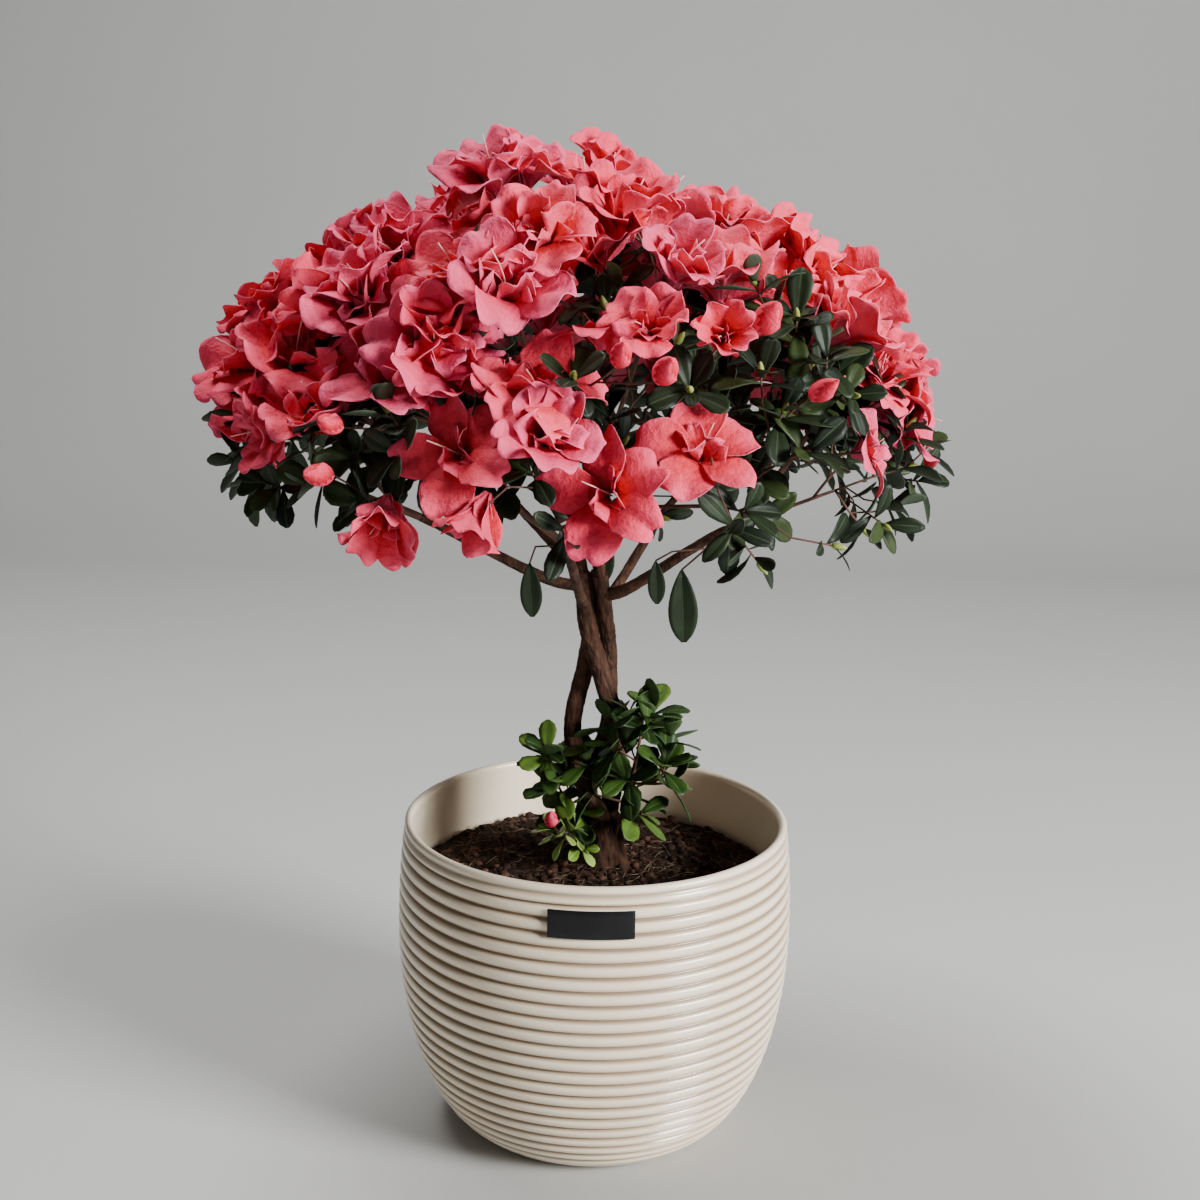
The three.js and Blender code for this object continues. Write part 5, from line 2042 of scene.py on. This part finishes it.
@dataclass
class TwigWork:
    """Twigs that branch by the solids' rule: each joins a near fork that lies deeper in."""

    stem: list[Vector]
    depth_of: Callable[[Vector], float]
    tip: float = 0.55
    gain: float = 0.26
    turn_cost: float = 0.45
    deeper: float = 0.05
    leaving: float = 0.4
    arriving: float = 0.35
    longest_arrival: float = 16
    step: float = 18
    sides: int = 5
    points: list[Vector] = field(default_factory=list)
    headings: list[Vector] = field(default_factory=list)
    parents: list[int] = field(default_factory=list)
    depths: list[float] = field(default_factory=list)
    ends: list[bool] = field(default_factory=list)
    chains: list[list[int]] = field(default_factory=list)

    def __post_init__(self) -> None:
        """Lays the stem of the mass."""
        chain = []
        for index, point in enumerate(self.stem):
            ahead = self.stem[min(index + 1, len(self.stem) - 1)]
            behind = self.stem[max(index - 1, 0)]
            chain.append(self.fork(point, (ahead - behind).normalized(), index - 1, False))
        self.chains.append(chain)

    def fork(self, point: Vector, heading: Vector, parent: int, is_end: bool) -> int:
        """Adds a point that later twigs may leave from, and returns its number."""
        self.points.append(point)
        self.headings.append(heading)
        self.parents.append(parent)
        self.depths.append(self.depth_of(point))
        self.ends.append(is_end)
        return len(self.points) - 1

    def nearest(self, target: Vector) -> int:
        """The fork that a twig to the target joins: near, deeper in and with little turn."""
        places = np.array([point[:] for point in self.points])
        away = np.array(target[:]) - places
        distance = np.linalg.norm(away, axis=1) + 1e-9
        turn = 1 - (away * np.array([heading[:] for heading in self.headings])).sum(axis=1) / distance
        cost = distance * (1 + self.turn_cost * turn)
        barred = np.array(self.ends) | (np.array(self.depths) > self.depth_of(target) - self.deeper)
        cost[barred] = np.inf
        best = int(np.argmin(cost))
        return best if np.isfinite(cost[best]) else 0

    def grow(self, target: Vector, facing: Vector) -> tuple[Vector, Vector]:
        """Grows one twig.

        Args:
            target: where it ends.
            facing: the way that it runs as it gets there.

        Returns:
            The twig's tip and the way that it runs there.
        """
        start = self.nearest(target)
        away = target - self.points[start]
        length = away.length
        leaving = (away.normalized() + self.headings[start]).normalized()
        path = bezier([
            self.points[start],
            self.points[start] + leaving * length * self.leaving,
            target - facing * min(self.longest_arrival, length * self.arriving),
            target,
        ], max(2, round(length / self.step)))
        chain = [start]
        for index in range(1, len(path)):
            heading = (path[index] - path[index - 1]).normalized()
            chain.append(self.fork(path[index], heading, chain[-1], index == len(path) - 1))
        self.chains.append(chain)
        return path[-1], self.headings[chain[-1]]

    def tubes(self) -> list[Shape]:
        """Every twig as a tube that thickens with what it carries."""
        loads = [0] * len(self.points)
        for chain in self.chains[1:]:
            fork = chain[-1]
            while fork >= 0:
                loads[fork] += 1
                fork = self.parents[fork]
        rods: dict[int, Rod] = {}
        tubes = []
        for chain in self.chains:
            radii = [self.tip + self.gain * (sqrt(max(loads[fork], 1)) - 1) for fork in chain]
            radii[0] = radii[1]
            steps = len(chain) - 1
            rod = rods.setdefault(steps, Rod(self.sides, steps))
            path = [self.points[fork] for fork in chain]
            tubes.append(rod.bent(path, lambda part, turn: radii[round(part * steps)]))
        return tubes


@dataclass
class Spray:
    """A whorl of leaves round the end of a twig."""

    kit: LeafKit
    shortest: float
    longest: float
    fewest: int = 5
    apart: float = 1.5
    spread: Span = (32, 84)
    stray: float = 10
    first: float = 0.8

    def add_to(self, piece: Piece, tip: Vector, heading: Vector, spin: float, draw: Draw) -> None:
        """Sets the leaves round the twig's end.

        Args:
            piece: the joined leaves.
            tip: the end of the twig.
            heading: the way that the twig runs there.
            spin: where the first leaf points, in degrees.
            draw: where their number and small differences come from.
        """
        count = self.fewest + draw.under(3)
        side = square_to(heading)
        across = heading.cross(side)
        for index in range(count):
            ray = around(side, across, radians(spin + index * GOLDEN_ANGLE))
            spread = mix(*self.spread, index / max(count - 1, 1)) + draw.between(-self.stray, self.stray)
            along = around(heading, ray, radians(spread))
            face = (heading + UP * 0.5).normalized()
            length = draw.between(self.shortest, self.longest) * mix(self.first, 1, min(index / 2, 1))
            point = tip - heading * (index * self.apart)
            tone = draw.under(BLADE_TONES)
            shape = self.kit.leaves[draw.under(len(self.kit.leaves))]
            self.add_leaf(piece, shape, placed(point, along, face, length), tone)

    @staticmethod
    def add_leaf(piece: Piece, shape: Shape, place: Matrix, tone: int) -> None:
        """Adds one leaf, with its blade in one of the tones."""
        leaf = shape.moved(place)
        leaf.slots = np.where(leaf.slots == LeafSlot.BLADE, LeafSlot.BLADE + tone, leaf.slots)
        piece.parts.append(leaf)


@dataclass
class Head:
    """The head of the tree: twigs, leaves and blossom of each mass."""

    plan: HeadPlan
    blossoms: BlossomKit
    leaves: LeafKit
    narrow_leaves: LeafKit
    hanging: LeafKit
    seed: int = 101
    seed_step: int = 17
    stem_steps: int = 6
    rooted: float = 2
    sparse_under: float = 6
    sparse_count: int = 3
    bud_length: Span = (17, 25)
    bud_sunk: float = 4
    leaf_bud_share: float = 0.36
    leaf_bud_length: Span = (6, 10)
    sway: float = 0.42
    bloom_sunk: float = 0.55
    bloom_stray: Span = (-7, 1)
    size_stray: Span = (0.94, 1.06)
    closed_size: float = 0.75
    farthest: float = 1.1
    side_cut: float = 0.045
    right_share: float = 0.3
    cut_height: float = 60
    rim_lift: float = 0.5
    rim_corners: int = 6
    tuck: float = 2
    most_tucks: int = 12

    def build(self) -> list[Object]:
        """Grows every mass.

        Returns:
            The pieces of all the masses.
        """
        sites = self.plan.sites()
        made = []
        for index, bough in enumerate(BOUGHS):
            own = [site for site in sites if bough.holds(site.point)]
            made += self.build_mass(bough, own, Draw(self.seed + index * self.seed_step))
        return made

    def build_mass(self, bough: Bough, sites: Sequence[Site], draw: Draw) -> list[Object]:
        """Grows one mass from the tip of its bough.

        Args:
            bough: the bough that carries it.
            sites: the places that lie in its space.
            draw: where small differences come from.

        Returns:
            Its twigs, leaves and blossom.
        """
        node = (f"foliage_{bough.name}",)
        petal_finishes = [finish for palette in PALETTES for finish in palette.finishes()]
        twigs = Piece(f"twigs_{bough.name}", "bark", node, [TWIG_BARK])
        leaves = Piece(f"leaves_{bough.name}", "shoots", node, [*OLD_LEAVES.finishes(), BUD_GREEN])
        blossom = Piece(f"blossom_{bough.name}", "blossom", node, petal_finishes)
        controls = bough.controls()
        leaving = (controls[3] - controls[2]).normalized()
        start = controls[3] - leaving * self.rooted
        middle = start + leaving * (bough.heart() - start).length / 2
        work = TwigWork(bezier([start, middle, middle, bough.heart()], self.stem_steps), DOME.depth)
        for site in sorted(sites, key=lambda item: (item.point - start).length):
            if site.kind is SiteKind.BLOOM:
                self.add_bloom(work, blossom, site, draw)
            elif site.kind is SiteKind.BUD:
                tip, _ = work.grow(site.point - site.facing * self.bud_sunk, site.facing)
                place = placed(tip, site.facing, square_to(site.facing), draw.between(*self.bud_length))
                blossom.add(BlossomKit.bud(draw.number()), place)
            elif site.kind is SiteKind.HANGING:
                self.add_hanging(work, leaves, site)
            else:
                self.add_spray(work, leaves, site, draw)
        twigs.parts = work.tubes()
        return [piece.build() for piece in (twigs, leaves, blossom) if piece.parts]

    def add_hanging(self, work: TwigWork, leaves: Piece, site: Site) -> None:
        """Grows a twig downwards to a single large leaf that hangs from it, facing the front."""
        work.grow(site.point, Vector((0.3, 0, -1)).normalized())
        place = placed(site.point, Vector((0.06, 0, -1)), Vector((0, -1, 0.1)), site.radius)
        Spray.add_leaf(leaves, self.hanging.leaves[0], place, tone=1)

    def add_spray(self, work: TwigWork, leaves: Piece, site: Site, draw: Draw) -> None:
        """Grows a twig to a spray of leaves, narrow and few low down, some with a bud at the tip.

        Args:
            work: the twigs of the mass.
            leaves: its joined leaves.
            site: where the spray goes.
            draw: where small differences come from.
        """
        tip, heading = work.grow(site.point, site.facing)
        spray = Spray(self.leaves, shortest=19, longest=29)
        if site.point.z < DOME.z - self.sparse_under:
            spray = Spray(self.narrow_leaves, shortest=18, longest=30, fewest=self.sparse_count, apart=2.5)
        spray.add_to(leaves, tip, heading, site.spin, draw)
        if draw.number() < self.leaf_bud_share:
            place = placed(tip, heading, square_to(heading), draw.between(*self.leaf_bud_length))
            leaves.add(LeafKit.leaf_bud(), place, slot_shift=LeafSlot.BUD)

    def add_bloom(self, work: TwigWork, blossom: Piece, site: Site, draw: Draw) -> None:
        """Grows a twig to a bloom and sets the bloom on it, turned a little its own way.

        Args:
            work: the twigs of the mass.
            blossom: its joined blossom.
            site: where the bloom goes.
            draw: where small differences come from.
        """
        sway = Vector((draw.between(-1, 1), draw.between(-1, 1), draw.between(-0.6, 1.2)))
        facing = (site.facing + sway * self.sway).normalized()
        work.grow(site.point - facing * site.radius * self.bloom_sunk, facing)
        form = min(BloomForm, key=lambda item: abs(item.cup - site.cup))
        shapes = self.blossoms.blooms[form]
        shape = shapes[draw.under(len(shapes))]
        side = Matrix.Rotation(radians(site.spin), 3, facing) @ square_to(facing)
        size = site.radius * draw.between(*self.size_stray)
        point = site.point + site.facing * draw.between(*self.bloom_stray)
        point = self.tucked(point, facing, size * mix(1, self.closed_size, site.cup))
        palette = draw.under(len(PALETTES))
        blossom.add(shape, placed(point, side, facing, size), slot_shift=palette * PALETTE_SLOTS)

    def tucked(self, point: Vector, facing: Vector, size: float) -> Vector:
        """A bloom's place, drawn in until its rim keeps within the reach of the head.

        Args:
            point: the place.
            facing: the way that the bloom faces.
            size: how far its rim spreads.

        Returns:
            The place, as it was or nearer to the heart.
        """
        side = square_to(facing)
        across = facing.cross(side)
        inwards = (Vector((DOME.x, DOME.y, DOME.z)) - point).normalized()
        beside = (point.x - DOME.x) / DOME.across
        low = smooth(1.3 - (point.z - DOME.z) / self.cut_height)
        share = self.right_share if beside > 0 else low
        limit = self.farthest - self.side_cut * smooth(abs(beside) * 2 - 0.9) * share
        for _ in range(self.most_tucks):
            rim = [point + facing * size * self.rim_lift]
            rim += [rim[0] + around(side, across, turn) * size for turn in range(self.rim_corners)]
            if max(DOME.depth(corner) for corner in rim) < limit:
                break
            point = point + inwards * self.tuck
        return point


# Young shoots at the foot of the trunk


@dataclass(frozen=True)
class Shoot:
    """A young shoot that leaves the side of the foot, by the solids' rule."""

    name: str
    foot: float
    height: float
    seed: int
    sprays: int
    leaf: float
    heart: Triple
    tip: Triple
    spread: Triple
    tints: LeafTints = YOUNG_LEAVES
    has_bud: bool = False
    rooted: float = 2
    steps: int = 6
    first_turn: float = 300
    lowest: float = 0.25
    sway: float = 3
    bud_length: float = 13

    def build(self, trunk_foot: Foot, kit: LeafKit, blossoms: BlossomKit) -> list[Object]:
        """Grows the shoot.

        Args:
            trunk_foot: what it leaves from.
            kit: its leaf shapes.
            blossoms: where its bud comes from.

        Returns:
            Its stems and its leaves.
        """
        draw = Draw(self.seed)
        root = trunk_foot.side(self.foot, self.height) - compass(self.foot) * self.rooted
        heart, tip = Vector(self.heart), Vector(self.tip)
        stem = bezier([root, root.lerp(heart, 0.7), heart.lerp(tip, 0.2), tip], self.steps)
        reach = (tip - root).length
        work = TwigWork(stem, lambda point: (point - root).length / reach, tip=0.6, gain=0.25)
        stems = Piece(f"{self.name}_stems", "bark", (self.name,), [TWIG_BARK])
        finishes = [*self.tints.finishes(), BUD_GREEN, *PALETTES[2].finishes()]
        leaves = Piece(f"{self.name}_leaves", "shoots", (self.name,), finishes)
        spray = Spray(kit, shortest=self.leaf * 0.8, longest=self.leaf * 1.05, apart=1.1)
        for index in range(self.sprays):
            along = (index + 0.5) / self.sprays
            bulge = sin(pi * mix(0.3, 0.95, along))
            turned = compass(self.first_turn + index * GOLDEN_ANGLE)
            ray = Vector((turned.x * self.spread[0], turned.y * self.spread[1], 0))
            lift = UP * draw.between(-self.sway, self.sway)
            point = root.lerp(tip, mix(self.lowest, 1, along)) + ray * bulge + lift
            facing = (ray * 0.6 + UP * self.spread[2]).normalized()
            end, heading = work.grow(point, facing)
            if self.has_bud and index == self.sprays - 1:
                place = placed(point, facing, square_to(facing), self.bud_length)
                leaves.add(blossoms.bud(1), place, slot_shift=LeafSlot.PETALS)
            else:
                spray.add_to(leaves, end, heading, draw.between(0, 360), draw)
        stems.parts = work.tubes()
        return [stems.build(), leaves.build()]


SHOOTS = (
    Shoot(
        "shoots_right", foot=318, height=178, seed=31, sprays=17, leaf=27,
        heart=(22, -19, 214), tip=(27, -14, 262), spread=(27, 12, 30),
    ),
    Shoot(
        "shoots_left", foot=196, height=180, seed=47, sprays=6, leaf=25,
        heart=(-27, -6, 214), tip=(-31, -8, 236), spread=(7, 8, 12),
    ),
    Shoot(
        "sprout", foot=236, height=170, seed=59, sprays=6, leaf=15,
        heart=(-20, -26, 183), tip=(-27, -28, 197), spread=(9, 6, 6), tints=SPROUT_LEAVES, has_bud=True,
    ),
)


# The studio


STUDIO_PALE = Finish(
    "studio_pale", (0.46, 0.46, 0.45), (0.44, 0.44, 0.43), patches=2, roughness=0.9, relief=0.0
)


@dataclass(frozen=True)
class SoftLight:
    """A square soft light, in metres and watts, and the point that it shines on."""

    name: str
    place: Triple
    target: Triple
    size: float
    watts: float

    def build(self) -> None:
        """Hangs the light and turns it to its target."""
        data = bpy.data.lights.new(self.name, "AREA")
        data.size = self.size
        data.energy = self.watts
        light = linked(self.name, data)
        light.location = self.place
        ray = Vector(self.target) - Vector(self.place)
        light.rotation_euler = ray.to_track_quat("-Z", "Y").to_euler()


@dataclass
class Studio:
    """The pale floor, the soft lights and the camera at the photograph's viewing angle."""

    camera_place: Triple = (0, -0.968, 0.546)
    pitch: float = 13.07
    roll: float = 1.055
    lens: float = 51.46
    sensor: float = 36
    half_width: float = 4
    front: float = -3
    back: float = 1.6
    sweep: float = 0.8
    wall_top: float = 3.5
    lights: tuple[SoftLight, ...] = (
        SoftLight("key", (1.92, -1.22, 1.05), (0, 0, 0.25), 0.8, 142),
        SoftLight("fill", (-1.4, -1.7, 1.0), (0, 0, 0.35), 1.4, 1.5),
        SoftLight("above", (-0.55, 0.3, 2.2), (0, 0, 0.5), 0.8, 48),
    )
    sky: tuple[float, float, float, float] = (0.93, 0.96, 1, 1)
    sky_strength: float = 0.05

    def build(self) -> None:
        """Sets up everything that isn't part of the tree."""
        self.build_floor()
        self.build_lights()
        self.build_camera()

    def build_floor(self) -> None:
        """A pale floor that curves up into a pale backdrop."""
        mesh = bmesh.new()
        sweep = self.sweep
        section = [(self.front, 0), (self.back, 0)]
        for turn in range(10, 91, 10):
            lean = radians(turn)
            section.append((self.back + sweep * sin(lean), sweep - sweep * cos(lean)))
        section.append((self.back + sweep, self.wall_top))
        rows = [mesh.verts.new((-self.half_width, y, z)) for y, z in section]
        edges = [mesh.edges.new(pair) for pair in zip(rows, rows[1:])]
        swept = bmesh.ops.extrude_edge_only(mesh, edges=edges)
        moved = [item for item in swept["geom"] if isinstance(item, BMVert)]
        bmesh.ops.translate(mesh, verts=moved, vec=(2 * self.half_width, 0, 0))
        bmesh.ops.recalc_face_normals(mesh, faces=mesh.faces)
        floor = linked("studio_floor", smoothed(mesh, "studio_floor"))
        floor.data.materials.append(STUDIO_PALE.material())

    def build_lights(self) -> None:
        """Large soft lights and an even sky."""
        for light in self.lights:
            light.build()
        world = bpy.data.worlds.new("soft_sky")
        world.use_nodes = True
        set_inputs(world.node_tree.nodes["Background"], Color=self.sky, Strength=self.sky_strength)
        bpy.context.scene.world = world

    def build_camera(self) -> None:
        """The camera, pitched down and rolled a little."""
        data = bpy.data.cameras.new("view")
        data.lens = self.lens
        data.sensor_width = self.sensor
        camera = linked("view", data)
        pitch, roll = radians(self.pitch), radians(self.roll)
        forward = Vector((0, cos(pitch), -sin(pitch)))
        level_up = Vector((0, sin(pitch), cos(pitch)))
        right = Vector((1, 0, 0)) * cos(roll) + level_up * sin(roll)
        turn = Matrix((right, right.cross(forward), -forward)).transposed()
        camera.matrix_world = Matrix.Translation(self.camera_place) @ turn.to_4x4()
        bpy.context.scene.camera = camera


def main() -> None:
    """Builds the pot, the tree and the studio in order."""
    logging.basicConfig(level=logging.INFO, format="%(message)s")
    pot = Pot()
    foot = Foot()
    pieces: list[Object] = [pot.build(), FrontPlate(pot).build()]
    pieces += Peat(pot).build()
    pieces += Trunk(foot).build()
    blossoms = BlossomKit()
    leaves = LeafKit()
    broad_leaves = LeafKit(width=0.26, seed=23)
    narrow_leaves = LeafKit(width=0.19, fullest=1.5, seed=37)
    hanging = LeafKit(width=0.2, fullest=1.25, columns=9, rows=12, variants=1)
    pieces += Head(HeadPlan(), blossoms, leaves, narrow_leaves, hanging).build()
    for shoot in SHOOTS:
        pieces += shoot.build(foot, broad_leaves, blossoms)
    Studio().build()
    LOG.info("%d pieces", len(pieces))


if __name__ == "__main__":
    main()
